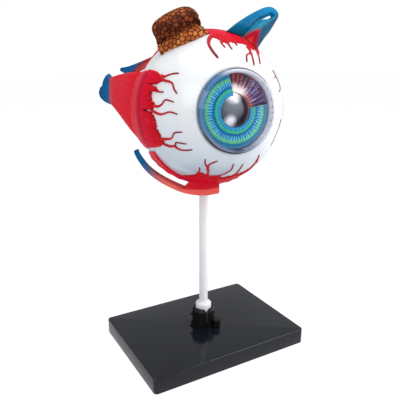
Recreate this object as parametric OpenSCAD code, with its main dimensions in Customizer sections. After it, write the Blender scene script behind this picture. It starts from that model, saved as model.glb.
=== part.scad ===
// Take-apart model of a human eye on a stand, for the classroom.
// Origin: centre of the underside of the base. +X along its long edge, -Y to the front, +Z up.

/* [Stand] */
// Length of the base plate
base_l = 107; // [85:1:140]
// Width of the base plate
base_w = 77; // [60:1:110]
// Height of the base plate
base_h = 10; // [8:0.5:14]
// Radius of the upright corners of the base plate
base_corner = 2.5; // [2:0.5:10]
// Wall of the hollow base plate
base_wall = 2.4; // [1.6:0.1:3]
// Diameter of the split socket
socket_d = 14.8; // [13.5:0.1:20]
// Height of the split socket over the base plate
socket_h = 13; // [9:0.5:20]
// Width of the slots between the socket's petals
slot_w = 1.2; // [0.8:0.1:2.5]
// Diameter of the rod
rod_d = 5.6; // [4.2:0.1:6]
// Diameter of the plug at the foot of the rod
plug_d = 10.2; // [9:0.1:11]
// Height of the plug that shows over the socket
plug_rise = 3.75; // [3:0.25:12]
// Diameter of the peg on which the eyeball turns
peg_d = 3.4; // [2.6:0.1:3.6]
// Length of the peg
peg_l = 4.2; // [3:0.1:4.4]

/* [Eyeball] */
// Height of the eyeball's centre
eye_z = 152.3; // [130:0.1:200]
// Distance of the eyeball's centre in front of the rod
eye_forward = 6; // [0:0.5:8]
// Turn of the gaze from straight ahead, in degrees
eye_turn = -8.4; // [-30:0.1:30]
// Upward tilt of the gaze, in degrees
eye_tilt = 3.1; // [0:0.1:8]
// Radius of the eyeball
ball_r = 42.3; // [40:0.1:46]
// Wall of the white shells
shell_wall = 2.6; // [2.2:0.1:2.8]
// Wall of the dark middle layer
choroid_wall = 1; // [0.8:0.1:1.2]
// Wall of the innermost layer
retina_wall = 1; // [0.8:0.1:1.2]
// Place of the seam of the shells in front of the eyeball's centre
seam = 8; // [6:0.5:10]
// Gap between nested pieces
gap = 0.3; // [0.25:0.05:0.4]
// Clearance of a running fit, on the radius
fit = 0.05; // [0.02:0.01:0.08]

/* [Front of the eye] */
// Radius of the cornea's rim
cornea_r = 21.5; // [20.8:0.1:22]
// Width of the shell's flat seat outside the cornea's rim
seat_land = 0.7; // [0.4:0.1:1.2]
// Height of the cornea's rim
rim_h = 2.2; // [1.5:0.1:3]
// Height of the cornea's dome over its rim
dome_h = 8; // [5:0.5:10]
// Wall of the cornea
cornea_wall = 1.4; // [1:0.1:1.8]
// Radius of the opening under the cornea
window_r = 19.9; // [19.7:0.1:20.2]
// Radius of the iris
iris_r = 19.4; // [18.5:0.1:19.5]
// Radius of the pupil
pupil_r = 7.9; // [5:0.1:9]
// Thickness of the iris
iris_t = 1; // [0.8:0.1:1.2]
// How far the pupil's edge stands in front of the iris's rim
iris_cone = 1.8; // [1:0.1:2.4]
// Angle of the piece cut out of the iris, in degrees
iris_cut = 90; // [30:5:120]
// Radius of the lens
lens_r = 9.4; // [8:0.1:9.6]
// Radius of the ring of the ciliary body inside
ciliary_r = 9.8; // [9.7:0.1:11]
// Number of ridges of the ciliary body
ridges = 44; // [24:1:72]
// Radius of the optic nerve with its sheath
nerve_r = 5.2; // [4:0.1:6]
// Length of the optic nerve outside the eyeball
nerve_l = 19; // [10:1:30]
// Angle of the optic nerve to the nose's side, in degrees
nerve_angle = 15; // [8:1:20]

/* [Muscles] */
// Thickness of the straight muscles
muscle_t = 2.4; // [1.6:0.1:2.6]
// Thickness of the strap of the lower slanting muscle
lower_strap_t = 2.8; // [2:0.1:4]
// Thickness of the strap of the upper slanting muscle
upper_strap_t = 3; // [2:0.1:4]
// Depth of the grooves between the muscle fibres
fibre_depth = 0.35; // [0.1:0.05:0.6]
// Height of the moulded pads at their jagged front edge
pad_low = 0.5; // [0.3:0.1:0.8]
// Width of a blood vessel where it leaves its pad
vessel_w = 1.3; // [0.8:0.1:1.8]
// Height of the tear gland over the eyeball
gland_h = 13.8; // [10:0.1:18]
// Depth of the cobbles of the tear gland
cobble = 0.5; // [0.2:0.1:0.8]

/* [Hidden] */
$fn = 96;

// Radii of the nested layers, from outside to inside
ball_in = ball_r - shell_wall;
choroid_r = ball_in - gap;
choroid_in = choroid_r - choroid_wall;
retina_r = choroid_in - gap;
retina_in = retina_r - retina_wall;
vitreous_r = retina_in - gap;
// The spigot of the front shell inside the back shell
spigot_r = ball_in - fit;
spigot_wall = 0.8;
spigot_l = 4.5;
// Thin skin between a moulded relief and the shell that carries it
skin = 0.05;
// Radius of the muscles' undersides, and their height at the seam, where the pads meet them
hug_r = ball_r + 2 * skin;
pad_high = muscle_t + 2 * skin;
// Front edge of the muscles, in hundredths of the radius like all the places of the straps
front_edge = 100 * (seam - gap / 2) / ball_r;
// Angle from the gaze at which the pads end at the seam
seam_angle = acos((seam + gap / 2) / ball_r);
// Thickness of the muscles and of the lower strap at their tips
muscle_tip_t = 2.6;
upper_tip_t = 2.2;
lower_tip_t = 3.2;
// The upper muscle is thin at the seam, where it passes under the tear gland, and the lower one too
upper_front_t = 0.8;
lower_front_t = 1.6;
// Bevel of the base plate's upper edge
base_bevel = 0.6;
// Hole in the base plate for the socket's foot
foot_hole_r = socket_d / 2 - 2.4;
foot_hole_z = 2;
foot_fit = 0.02;
// Levels of the stand
socket_floor = 2;
plug_z = base_h + socket_floor;
socket_top = base_h + socket_h;
plug_top = socket_top + plug_rise;
peg_r = peg_d / 2;
boss_r = peg_r + 3;
boss_z = eye_z - sqrt(pow(ball_r, 2) - pow(eye_forward, 2)) - 0.8;
bore_l = peg_l + 0.2;
boss_l = bore_l + 1.3;
// Levels along the gaze, from the cornea's seat on the front shell to the retina's edge
cornea_seat = sqrt(pow(ball_r, 2) - pow(cornea_r + seat_land, 2));
iris_z = cornea_seat - 2.9;
ciliary_z = iris_z - 0.1;
ciliary_t = 3.2;
lens_front_r = 14;
lens_back_r = 11;
lens_z = ciliary_z - ciliary_t;
// Centres of the lens's two faces
lens_front_z = lens_z - sqrt(pow(lens_front_r, 2) - pow(lens_r, 2));
lens_back_z = lens_z + sqrt(pow(lens_back_r, 2) - pow(lens_r, 2));
// Room round the back of the lens in its hollow of the filling
lens_room = 0.15;
vitreous_front = lens_z - 0.8;
retina_end = vitreous_front - 3;
choroid_end = lens_z - gap;
// The nerve's core, its two vessels, and the room round its glued pieces
nerve_core_r = nerve_r - 1.2;
core_vessel_r = 0.65;
core_vessel_x = 1.4;
nerve_room = 0.02;
// Longer than anything in the model, for cuts that run through
far = 4 * ball_r;

// ---------- places and curves ----------

// The eyeball's own frame: x to the nose's side, y up, z along the gaze
module eye() {
    translate([0, -eye_forward, eye_z]) rotate([-eye_tilt, 0, eye_turn]) rotate([90, 0, 0]) children();
}

// A point of the eyeball's frame: to the temple, up and forward, in hundredths of the radius
function at(temple, up, forward) = [-temple, up, forward] * ball_r / 100;

// A point at radius r, angle a from the gaze and clock angle c from the top to the temple's side
function on_ball(r, a, c) = r * [-sin(a) * sin(c), sin(a) * cos(c), cos(a)];

function unit(v) = v / norm(v);
function lerp(a, b, f) = a + (b - a) * f;

// Point f (0 to 1) of the smooth curve through the points p
function curve(p, f) = let (m = len(p) - 1, k = min(floor(f * m), m - 1), t = f * m - k,
        a = p[max(k - 1, 0)], b = p[k], c = p[k + 1], d = p[min(k + 2, m)])
    0.5 * (2 * b + (c - a) * t + (2 * a - 5 * b + 4 * c - d) * t * t + (3 * b - a - 3 * c + d) * t * t * t);

// A point moved in or out to the sphere of radius r, at its own level
function on_level(p, r) = let (flat = [p[0], p[1]])
    concat(flat * sqrt(pow(r, 2) - pow(p[2], 2)) / norm(flat), p[2]);

// A point moved outwards if it lies inside the eyeball; in front of the centre it keeps its level
function clear_ball(p) = norm(p) > hug_r ? p : p[2] > 0 ? on_level(p, hug_r) : p * hug_r / norm(p);

// Closed solid between two grids of points of the same size; rows x columns point outwards
module slab(top, bottom) {
    n = len(top) - 1;
    m = len(top[0]) - 1;
    w = m + 1;
    k = (n + 1) * w;
    points = [for (g = [top, bottom]) for (row = g) each row];
    cells = [for (i = [0:n - 1]) for (j = [0:m - 1]) let (a = i * w + j) [a, a + 1, a + w, a + w + 1]];
    ends = concat([for (j = [0:m - 1]) [j, j + 1]], [for (i = [0:n - 1]) [i * w + m, (i + 1) * w + m]],
        [for (j = [m:-1:1]) [n * w + j, n * w + j - 1]], [for (i = [n:-1:1]) [i * w, (i - 1) * w]]);
    polyhedron(points, concat(
        [for (c = cells) each [[c[0], c[1], c[2]], [c[1], c[3], c[2]]]],
        [for (c = cells) each [[c[0] + k, c[2] + k, c[1] + k], [c[1] + k, c[2] + k, c[3] + k]]],
        [for (e = ends) each [[e[0], e[0] + k, e[1]], [e[1], e[0] + k, e[1] + k]]]));
}

// Share of a strap's thickness at f across it: full in the middle, thin and round at the edges
function round_edge(f) = 0.3 + 0.7 * sqrt(max(0, 1 - pow(abs(2 * f - 1), 5)));

// Strap of muscle between the curves through left and right, with fibres along it.
// Its thickness goes from t0 to t1, and it stays outside the eyeball.
module strap(left, right, t0, t1, n, m, hug = true) {
    base = [for (i = [0:n]) let (a = curve(left, i / n), b = curve(right, i / n))
        [for (j = [0:m]) let (p = lerp(a, b, j / m)) hug ? clear_ball(p) : p]];
    skin_out = [for (i = [0:n]) [for (j = [0:m])
        let (along = base[min(i + 1, n)][j] - base[max(i - 1, 0)][j],
            across = base[i][min(j + 1, m)] - base[i][max(j - 1, 0)],
            thick = lerp(t0, t1, i / n) * round_edge(j / m) - (j % 2 == 1 ? fibre_depth : 0))
        base[i][j] + unit(cross(along, across)) * thick]];
    slab(skin_out, base);
}

// Pad moulded on the front shell from its jagged front edge to its back edge, both given as
// tables of clock angle and angle from the gaze; it swells to the muscle's height at the seam
module pad(front, back, n, m, high = pad_high) {
    from = front[0][0];
    to = front[len(front) - 1][0];
    function angle(i, j) = let (c = lerp(from, to, j / m), notch = j % 2 == 1 ? 1.2 : 0)
        lerp(lookup(c, front) + notch, min(seam_angle, lookup(c, back)), i / n);
    function rise(a) = pad_low + (high - pad_low) * min(1, max(0, (a - 56) / (seam_angle - 56)));
    grid = function (height) [for (i = [0:n]) [for (j = [0:m])
        let (a = angle(i, j), c = lerp(from, to, j / m), end = j == 0 || j == m ? 0.4 : 1,
            fibre = j % 2 == 1 ? fibre_depth / 2 : 0)
        on_ball(ball_r + (height == 0 ? skin : rise(a) * end - fibre), a, c)]];
    slab(grid(1), grid(0));
}

// Blood vessel moulded on the shell along a route of angles from the gaze and clock angles,
// with a half-round section that tapers from w0 to w1
module vessel(route, w0 = vessel_w, w1 = vessel_w * 0.35, r = ball_r) {
    n = 4 * (len(route) - 1);
    m = 3;
    path = [for (i = [0:n]) let (p = curve(route, i / n)) on_ball(1, p[0], p[1])];
    rows = function (top) [for (i = [0:n])
        let (side = unit(cross(path[min(i + 1, n)] - path[max(i - 1, 0)], path[i])),
            w = lerp(w0, w1, i / n))
        [for (j = [0:m]) let (x = cos(180 * j / m), z = top * (0.1 + 0.5 * sin(180 * j / m)))
            path[i] * (r + skin + z * w) + side * x * w / 2]];
    slab(rows(1), rows(0));
}

// ---------- stand ----------

module rounded_plate(l, w, h, r) {
    linear_extrude(h) union() {
        square([l - 2 * r, w], center = true);
        square([l, w - 2 * r], center = true);
        for (x = [-1, 1], y = [-1, 1]) translate([x * (l / 2 - r), y * (w / 2 - r)]) circle(r = r);
    }
}

module base_plate() color("#1e2126") difference() {
    union() {
        difference() {
            union() {
                rounded_plate(base_l, base_w, base_h - base_bevel, base_corner);
                rounded_plate(base_l - 2 * base_bevel, base_w - 2 * base_bevel, base_h,
                    base_corner - base_bevel);
            }
            translate([0, 0, -1]) rounded_plate(base_l - 2 * base_wall, base_w - 2 * base_wall,
                base_h - base_wall + 1, max(0.4, base_corner - base_wall));
        }
        cylinder(r = foot_hole_r + base_wall, h = base_h - base_wall / 2);
    }
    translate([0, 0, foot_hole_z]) cylinder(r = foot_hole_r, h = base_h);
}

// Two slots across the socket, with rounded shoulders
slot_turns = [82, 172];
slot_z = base_h + 3;
slot_round = 0.9;
// Outline of the two pointed ears on one side of the socket, one over the other
ear = [[-0.8, -1.4], [1.7, 0], [-0.8, 1.4]];
ear_turn = 155;
ear_w = 2.4;
ear_levels = [base_h + 1.7, base_h + 7.9];
// Round lug on the other side
lug_d = 5.2;
lug_h = 5.3;
lug_turn = -56;

module socket_clip() color("#0d0d0f") {
    petal_round = 1.6;
    collar_h = 1.6;
    difference() {
        union() {
            translate([0, 0, base_h]) cylinder(d = socket_d, h = socket_h - petal_round);
            translate([0, 0, socket_top - petal_round])
                cylinder(d1 = socket_d, d2 = socket_d - petal_round, h = petal_round);
            translate([0, 0, foot_hole_z + gap / 3]) cylinder(r = foot_hole_r - foot_fit, h = base_h);
            translate([0, 0, base_h]) cylinder(d = socket_d + collar_h, h = collar_h);
            for (z = ear_levels) rotate([0, 0, ear_turn]) translate([socket_d / 2, 0, z])
                rotate([90, 0, 0]) linear_extrude(ear_w, center = true) polygon(ear);
            rotate([0, 0, lug_turn]) translate([(socket_d + lug_d) / 2 - 0.5, 0, base_h + gap])
                cylinder(d = lug_d, h = lug_h);
        }
        translate([0, 0, plug_z]) cylinder(r = plug_d / 2 + fit, h = far);
        for (a = slot_turns) rotate([0, 0, a]) {
            translate([-socket_d, -slot_w / 2, slot_z]) cube([2 * socket_d, slot_w, far]);
            translate([-socket_d, 0, socket_top]) rotate([0, 90, 0])
                cylinder(r = slot_w / 2 + slot_round, h = 2 * socket_d);
        }
    }
}

module support_rod() color("white") {
    shoulder = 2;
    rotate_extrude() difference() {
        union() {
            square([rod_d / 2, boss_z]);
            translate([0, plug_z]) square([plug_d / 2, plug_top - plug_z - shoulder]);
            translate([0, plug_z]) square([plug_d / 2 - shoulder, plug_top - plug_z]);
            translate([plug_d / 2 - shoulder, plug_top - shoulder]) circle(r = shoulder);
            square([peg_r, boss_z + peg_l]);
        }
        square([2 * plug_d, plug_z]);
        translate([-far, 0]) square([far, far]);
    }
}

// ---------- shells ----------

// Fine groove along the seam, cut in halves out of both shells
module seam_groove() {
    r = sqrt(pow(ball_r, 2) - pow(seam, 2));
    rotate_extrude() translate([r, seam]) rotate(45) square(0.5, center = true);
}

module nerve_axis() {
    rotate([0, 180 - nerve_angle, 0]) children();
}

// Ball with its poles at the top and the bottom
module ball(r, spin = 90) rotate([90, 0, 0]) rotate([0, 0, spin]) sphere(r = r);

module boss_axis() {
    translate([0, 0, boss_z]) children();
}

module sclera_back() color("white") difference() {
    union() {
        eye() difference() {
            ball(ball_r);
            ball(ball_in);
            cylinder(r = ball_in, h = far);
            translate([0, 0, seam]) cylinder(r = far, h = far);
            seam_groove();
        }
        boss_axis() cylinder(r = boss_r, h = boss_l);
    }
    boss_axis() translate([0, 0, -1]) cylinder(r = peg_r + fit, h = bore_l + 1);
    eye() nerve_axis() cylinder(r = nerve_r + nerve_room, h = far);
}

module sclera_front() color("white") eye() {
    difference() {
        sphere(r = ball_r);
        sphere(r = ball_in);
        translate([0, 0, seam - far]) cylinder(r = far, h = far);
        translate([0, 0, cornea_seat]) cylinder(r = far, h = far);
        cylinder(r = window_r, h = far);
        seam_groove();
    }
    // Spigot that centres the front shell in the back one
    translate([0, 0, seam - spigot_l]) difference() {
        cylinder(r = spigot_r, h = spigot_l + 0.6);
        translate([0, 0, -1]) cylinder(r = spigot_r - spigot_wall, h = far);
        translate([0, 0, spigot_l]) difference() {
            cylinder(r = far, h = 1);
            cylinder(r = spigot_r - 0.3, h = far, center = true);
        }
    }
}

// Half of an inner layer behind the equator, with a short straight rim up to the spigot
module back_cup(outer, inner) difference() {
    union() {
        ball(outer, 0);
        cylinder(r = outer, h = seam - spigot_l - gap);
    }
    ball(inner, 0);
    cylinder(r = inner, h = far);
    translate([0, 0, seam - spigot_l - gap]) cylinder(r = far, h = far);
}

// Zone of an inner layer in the front shell, from the seam to the given level
module front_zone(outer, inner, end) difference() {
    sphere(r = outer);
    sphere(r = inner);
    translate([0, 0, seam + gap - far]) cylinder(r = far, h = far);
    translate([0, 0, end]) cylinder(r = far, h = far);
}

module choroid_back() color("#5a2018") difference() {
    eye() back_cup(choroid_r, choroid_in);
    boss_axis() cylinder(r = boss_r + gap, h = boss_l + 3);
    eye() nerve_axis() cylinder(r = nerve_r + nerve_room, h = far);
}

module choroid_front() color("#5a2018") eye() front_zone(choroid_r, choroid_in, choroid_end);

module retina_back() color("#e8a15c") difference() {
    eye() back_cup(retina_r, retina_in);
    boss_axis() cylinder(r = boss_r + gap, h = boss_l + 3);
    eye() nerve_axis() cylinder(r = nerve_core_r + nerve_room, h = far);
}

module retina_front() color("#e8a15c") eye() front_zone(retina_r, retina_in, retina_end);

// ---------- inside and front ----------

module vitreous_body() color("#dfeff5", 0.5) eye() difference() {
    nerve_axis() sphere(r = vitreous_r);
    translate([0, 0, vitreous_front]) cylinder(r = far, h = far);
    translate([0, 0, lens_back_z]) sphere(r = lens_back_r + lens_room);
}

module lens() color("#9aa0a8") eye() intersection() {
    translate([0, 0, lens_front_z]) sphere(r = lens_front_r);
    translate([0, 0, lens_back_z]) sphere(r = lens_back_r);
}

module ciliary_body() color("#7a4468") eye() difference() {
    intersection() {
        sphere(r = choroid_r);
        translate([0, 0, lens_z]) union() {
            // Flat seat of the iris and the sunk ring that carries the ridges
            difference() {
                cylinder(r = far, h = ciliary_t);
                translate([0, 0, 1.2]) cylinder(r = iris_r - 0.8, h = far);
            }
            intersection() {
                linear_extrude(ciliary_t) for (i = [0:ridges - 1]) rotate(360 * i / ridges) polygon([
                    [ciliary_r - 1, -0.35], [iris_r, -0.75], [iris_r, 0.75], [ciliary_r - 1, 0.35]]);
                cylinder(r1 = iris_r + 4, r2 = iris_r + 0.4, h = ciliary_t);
            }
        }
    }
    cylinder(r = ciliary_r, h = far);
    // The ridges fall away towards the lens
    translate([0, 0, lens_z + 2]) cylinder(r1 = ciliary_r, r2 = iris_r - 1, h = ciliary_t - 2.1);
    translate([0, 0, iris_z - 0.1]) cylinder(r = far, h = far);
}

module iris() color("#2f8fc4") eye() difference() {
    rim = iris_r - 1.2;
    crest_z = iris_z + iris_cone;
    rotate_extrude() polygon([[pupil_r, crest_z], [pupil_r + iris_t / 2, crest_z + iris_t],
        [rim, iris_z + iris_t], [iris_r, iris_z + iris_t], [iris_r, iris_z], [rim, iris_z]]);
    // Piece cut out to show the ciliary body, from just past the top to the nose's side
    rotate([0, 0, 9 - iris_cut]) linear_extrude(far) polygon([[0, 0], [0, ball_r],
        for (a = [iris_cut / 4:iris_cut / 4:iris_cut]) ball_r * [-sin(a), cos(a)]]);
}

module cornea() color("#c4dcea", 0.4) eye() {
    top = cornea_seat + rim_h;
    inner = cornea_r - cornea_wall;
    curve_r = (pow(cornea_r, 2) + pow(dome_h, 2)) / (2 * dome_h);
    difference() {
        union() {
            translate([0, 0, cornea_seat]) cylinder(r = cornea_r, h = rim_h);
            intersection() {
                translate([0, 0, top + dome_h - curve_r]) sphere(r = curve_r);
                translate([0, 0, top - 0.5]) cylinder(r = cornea_r, h = far);
            }
            // Spigot in the shell's opening
            translate([0, 0, cornea_seat - 1.2]) cylinder(r = window_r - fit, h = 2);
        }
        intersection() {
            translate([0, 0, top + dome_h - curve_r]) sphere(r = curve_r - cornea_wall);
            cylinder(r = window_r - 0.9, h = far);
        }
        cylinder(r = window_r - 0.9, h = top - 0.4);
    }
}

module nerve_sheath() color("#e9dcc0") eye() nerve_axis() difference() {
    union() {
        translate([0, 0, choroid_in + gap]) cylinder(r = nerve_r, h = ball_r + nerve_l - choroid_in - gap);
        // Flare where the sheath runs out on the eyeball
        difference() {
            translate([0, 0, ball_r - 1]) cylinder(r1 = nerve_r + 2.6, r2 = nerve_r, h = 5);
            sphere(r = hug_r);
        }
    }
    cylinder(r = nerve_core_r + nerve_room, h = far);
}

module optic_nerve() color("#efc94c") eye() nerve_axis() difference() {
    translate([0, 0, retina_in]) cylinder(r = nerve_core_r, h = ball_r + nerve_l + 1 - retina_in);
    for (x = [-1, 1]) translate([x * core_vessel_x, 0, 0])
        cylinder(r = core_vessel_r + nerve_room, h = far);
}

module central_vessels() eye() nerve_axis() for (x = [-1, 1])
    color(x < 0 ? "#c41e28" : "#2458a8") translate([x * core_vessel_x, 0, retina_in])
        cylinder(r = core_vessel_r, h = ball_r + nerve_l + 2.4 - retina_in);

// ---------- pads and vessels on the front shell ----------

module lateral_insertion() color("#b5202a") eye() {
    pad([[59, 70], [61, 63], [65, 60], [68, 66], [72, 63], [78, 68], [83, 64], [89, 66], [97, 62],
        [103, 63.5], [109, 62], [114, 61], [117, 67]], [[59, 90], [117, 90]], 7, 44);
    vessel([[64, 61], [61, 61], [56, 57], [51, 54]]);
    vessel([[64, 62], [60, 64], [53, 64], [49, 69], [46, 72]], 1.7);
    vessel([[66, 73], [61, 73.5], [57, 73]]);
    vessel([[66, 84], [61, 85], [57, 83], [54, 79], [47, 80]], 1.5);
    vessel([[67, 88], [58, 91], [50, 89], [44, 91]]);
    vessel([[63, 111], [57, 112], [53, 112], [49, 108], [43, 109]]);
    vessel([[63, 115], [57, 119], [53, 119], [51, 117], [44, 122]], 1.5);
    vessel([[54, 119], [51, 125], [43, 130]]);
}

module superior_insertion() color("#b5202a") eye() {
    pad([[-33, 62], [-28, 55], [-21, 51], [-20, 57], [-13, 55], [-9, 53], [-5, 54], [1, 53], [4, 54],
        [6, 58], [8.5, 63]], [[-33, 90], [8.5, 90]], 8, 36, upper_front_t + 2 * skin);
    vessel([[65, 7.5], [61, 12], [55, 16], [48, 17.5], [40, 17]], 2.4, 1);
    vessel([[56, 4], [52, 5], [48, 4]]);
    vessel([[55, -1], [50, -1], [46, -2]]);
    vessel([[55, -8], [51, -9]]);
    vessel([[54, -20], [48, -22], [43, -17], [36, -16]], 1.6);
    vessel([[53, -20], [50, -22], [43, -24], [36, -26]], 1.8);
    vessel([[57, -30], [50, -32], [41, -34]], 1.6);
    vessel([[60, -32], [54, -33]]);
}

module inferior_insertion() color("#b5202a") eye() {
    pad([[150, 74], [152, 68], [154, 60], [156, 56], [161, 57], [168, 58], [172, 57], [179, 59],
        [186, 57], [194, 58], [204, 56], [212, 48]],
        [[150, 90], [175, 90], [179, 78], [187, 67], [195, 63], [204, 60], [212, 50]], 7, 40,
        lower_front_t + 2 * skin);
    vessel([[60, 164], [55, 161], [50, 158], [46, 151], [42, 147]], 1.5);
    vessel([[51, 158], [46, 155], [42, 157], [39, 160]]);
    vessel([[61, 165], [58, 167], [54, 175], [47, 181], [40, 180]]);
    vessel([[58, 188], [56, 189], [49, 191], [43, 193]]);
    vessel([[51, 210], [47, 212], [43, 214]]);
    vessel([[60, 154], [56, 153], [52, 150]]);
}

module nasal_vessels() color("#b5202a") eye() {
    vessel([[50.8, 308], [50.4, 303.5], [50.2, 298.5], [50.5, 292], [47, 288.5], [42, 288]], 0.7, 0.5);
    vessel([[50.2, 302], [47.5, 302], [44.5, 304]], 0.6, 0.4);
    vessel([[46.5, 259], [46.2, 253], [46.2, 247], [46, 239], [49, 231]], 0.5, 0.3);
}

// ---------- muscles ----------

module lateral_rectus() color("#dc1430") eye() strap(
    [at(83.9, 48.7, front_edge), at(86.1, 49.6, 0), at(95.7, 49.6, -37.8), at(101.7, 47.8, -80.4),
        at(106.4, 45.4, -108.7), at(110.2, 49.6, -117), at(113.9, 43.7, -125.3),
        at(114.4, 35.5, -127.7), at(117.3, 31.4, -135.9), at(119.4, 22.5, -140.7)],
    [at(87.5, -44.4, front_edge), at(89.4, -45.9, 0), at(98.3, -28.4, -37.8), at(105.2, -7.1, -80.4),
        at(108.7, 4.3, -108.7), at(110.2, 5.2, -118.2), at(113, 7.1, -125.3), at(115.4, 9.9, -132.4),
        at(117.3, 13.7, -138.3), at(119.4, 17.7, -140.7)],
    muscle_t, muscle_tip_t, 24, 18);

module medial_rectus() color("#dc1430") eye() strap(
    [at(-92.2, -40.2, 4.7), at(-92.2, -40.2, -7.1), at(-93.4, -28.4, -47.3), at(-85.1, -16.5, -85.1),
        at(-74.5, -7.1, -118.2), at(-69.7, 1.2, -134.8)],
    [at(-93.4, 37.8, 4.7), at(-93.4, 37.8, -7.1), at(-94.6, 29.6, -47.3), at(-86.3, 18.9, -85.1),
        at(-75.7, 11.8, -118.2), at(-70.9, 5.9, -134.8)],
    muscle_t - 1, muscle_tip_t, 16, 12);

module superior_rectus() color("#dc1430") eye() strap(
    [at(-45.4, 85.8, front_edge), at(-46.3, 87.9, 0), at(-18.9, 94.6, -28.4), at(18.9, 86.3, -52),
        at(44.9, 74.5, -66.2), at(63.8, 65.2, -87.5), at(76.8, 59.1, -113.5), at(86.3, 57.2, -134.8)],
    [at(38.5, 89.4, front_edge), at(41.6, 89.8, 0), at(61.5, 75.7, -18.9), at(73.3, 56.7, -42.6),
        at(76.8, 50.6, -70.9), at(80.4, 49.4, -99.3), at(84.9, 49.2, -120.6), at(87.9, 53, -134.8)],
    upper_front_t, upper_tip_t, 20, 14);

// The lower muscle has a hole for the rod and its boss
module inferior_rectus() color("#dc1430") difference() {
    eye() strap(
        [at(84.6, -50.4, front_edge), at(84.9, -52.5, 0), at(76.4, -56, -33.1), at(66.9, -56, -66.2),
            at(67.1, -54.8, -99.3), at(63.8, -49.6, -127.7), at(59.1, -49.6, -141.8)],
        [at(-41.1, -87.9, front_edge), at(-39.7, -91.3, 0), at(-21.3, -93.4, -33.1),
            at(4.7, -85.1, -66.2), at(30.7, -70.9, -99.3), at(48.5, -60.3, -127.7),
            at(56.7, -53.2, -141.8)],
        lower_front_t, muscle_tip_t, 20, 20);
    boss_axis() cylinder(r = boss_r + skin, h = far, center = true);
}

// Folded strap over the top of the eyeball: a back leg, a bend round a narrow eye, and a front leg
// whose edge lies just before the back leg's
module superior_oblique() color("#0082b4") eye() strap(
    [at(-33.3, 89.6, 36.4), at(-44, 99.3, 34.3), at(-55.8, 108.7, 30.7), at(-67.4, 113.9, 28.4),
        at(-76.1, 117.3, 26), at(-78, 116.5, 25.8), at(-77.8, 115.4, 26), at(-67.4, 111.2, 30.3),
        at(-54.2, 109.4, 34.9), at(-42.5, 100.2, 38.4), at(-31.6, 89.8, 40)],
    [at(-11.3, 96.5, 31.7), at(-27, 105.4, 28.4), at(-45.6, 114.2, 24.1), at(-64.3, 122.2, 19.9),
        at(-76.1, 125.3, 17.5), at(-85.1, 123.9, 17.5), at(-88.4, 116.8, 21.7), at(-81.8, 107.8, 26.5),
        at(-69, 94.6, 35.5), at(-56.7, 85.6, 46.1), at(-42.8, 73.5, 56.7)],
    upper_strap_t, upper_strap_t, 30, 6, hug = false);

// Strap under the eyeball, moulded on to the lower pad over the first part of its length
module inferior_oblique() color("#eb5f5a") eye() {
    front = [at(-1.2, -107.1, 29.6), at(21.3, -107.1, 33.1), at(42.6, -104, 24.8), at(57.9, -98.1, 10.6),
        at(70.9, -89.8, -7.1), at(80.4, -79.2, -26), at(86.3, -65, -44.9), at(87.5, -55.6, -54.4)];
    back = [at(-1.2, -107.1, 5.9), at(16.5, -107.1, 5.9), at(33.1, -105.2, 0), at(47.3, -99.3, -14.2),
        at(61.5, -91, -30.7), at(73.3, -80.4, -47.3), at(81.6, -66.2, -61.5), at(85.1, -56.7, -63.8)];
    strap(front, back, lower_strap_t, lower_tip_t, 26, 8, hug = false);
    // The root fills the space from the strap to the inside of the pad, in front of the seam
    rows = 15;
    root_end = 0.32;
    sink = [0, -0.4, 0];
    root = function (up) [for (i = [0:rows]) let (f = i / rows, k = sqrt(1 - pow(max(0, 5 * f - 4), 2)),
            edge = curve(front, f * root_end) - [0, 0, gap])
        [for (z = [max(edge[2], seam + 2 * gap), seam + gap]) let (p = [edge[0], edge[1], z])
            up == 0 ? p + sink : lerp(p + sink / 2, on_level(p, ball_r + lower_front_t - 0.4), k)]];
    slab(root(0), root(1));
}

// ---------- tear gland ----------

gland_from = 9.6;
gland_to = 46;
// How far the lobe's ends stand in from the skirt's, in degrees
lobe_nose = 3.5;
lobe_temple = 6.5;

// Share of the full size at f along the gland, round at both ends
function gland_end(f) = pow(max(0, 1 - pow(abs(2 * f - 1), 4)), 0.25);

// Angle from the gaze of the gland's front edge on the eyeball
function gland_foot(c) =
    lookup(c, [[8, 70], [14, 67.5], [22, 66], [30, 67.5], [37, 72], [42, 77], [46, 80]]);

// Section of the gland at f along it, as distances from the gaze axis and along it, with the
// share of the lobe's taper: the low skirt in front, the groove, the round lobe, the underside
function gland_section(f) = let (k = gland_end(f), foot = gland_foot(lerp(gland_from, gland_to, f)),
        r = hug_r, z0 = r * cos(foot), r0 = r * sin(foot),
        top = ball_r + gland_h * (0.25 + 0.75 * k), base = ball_r + pad_high + gap + 0.4,
        mid = (top + base) / 2, back = seam - 9 * k)
    concat(
        [[r0, z0, 0], [r0 + 2.2 * k, z0 + 0.9, 0], [r0 + 4.2 * k, z0 + 0.6, 0.2],
            [base + 0.4, z0 - 2, 0.8]],
        [for (a = [-30:17:174]) [mid + (top - mid) * sin(a), lerp(back, z0 + 0.4, 0.5 + 0.5 * cos(a)), 1]],
        [[base, back + 0.6, 0.6], [base, seam - gap, 0.3],
            [sqrt(pow(r, 2) - pow(seam + 2 * gap, 2)), seam + 2 * gap, 0],
            [r * sin((foot + 78) / 2), r * cos((foot + 78) / 2), 0]]);

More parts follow.
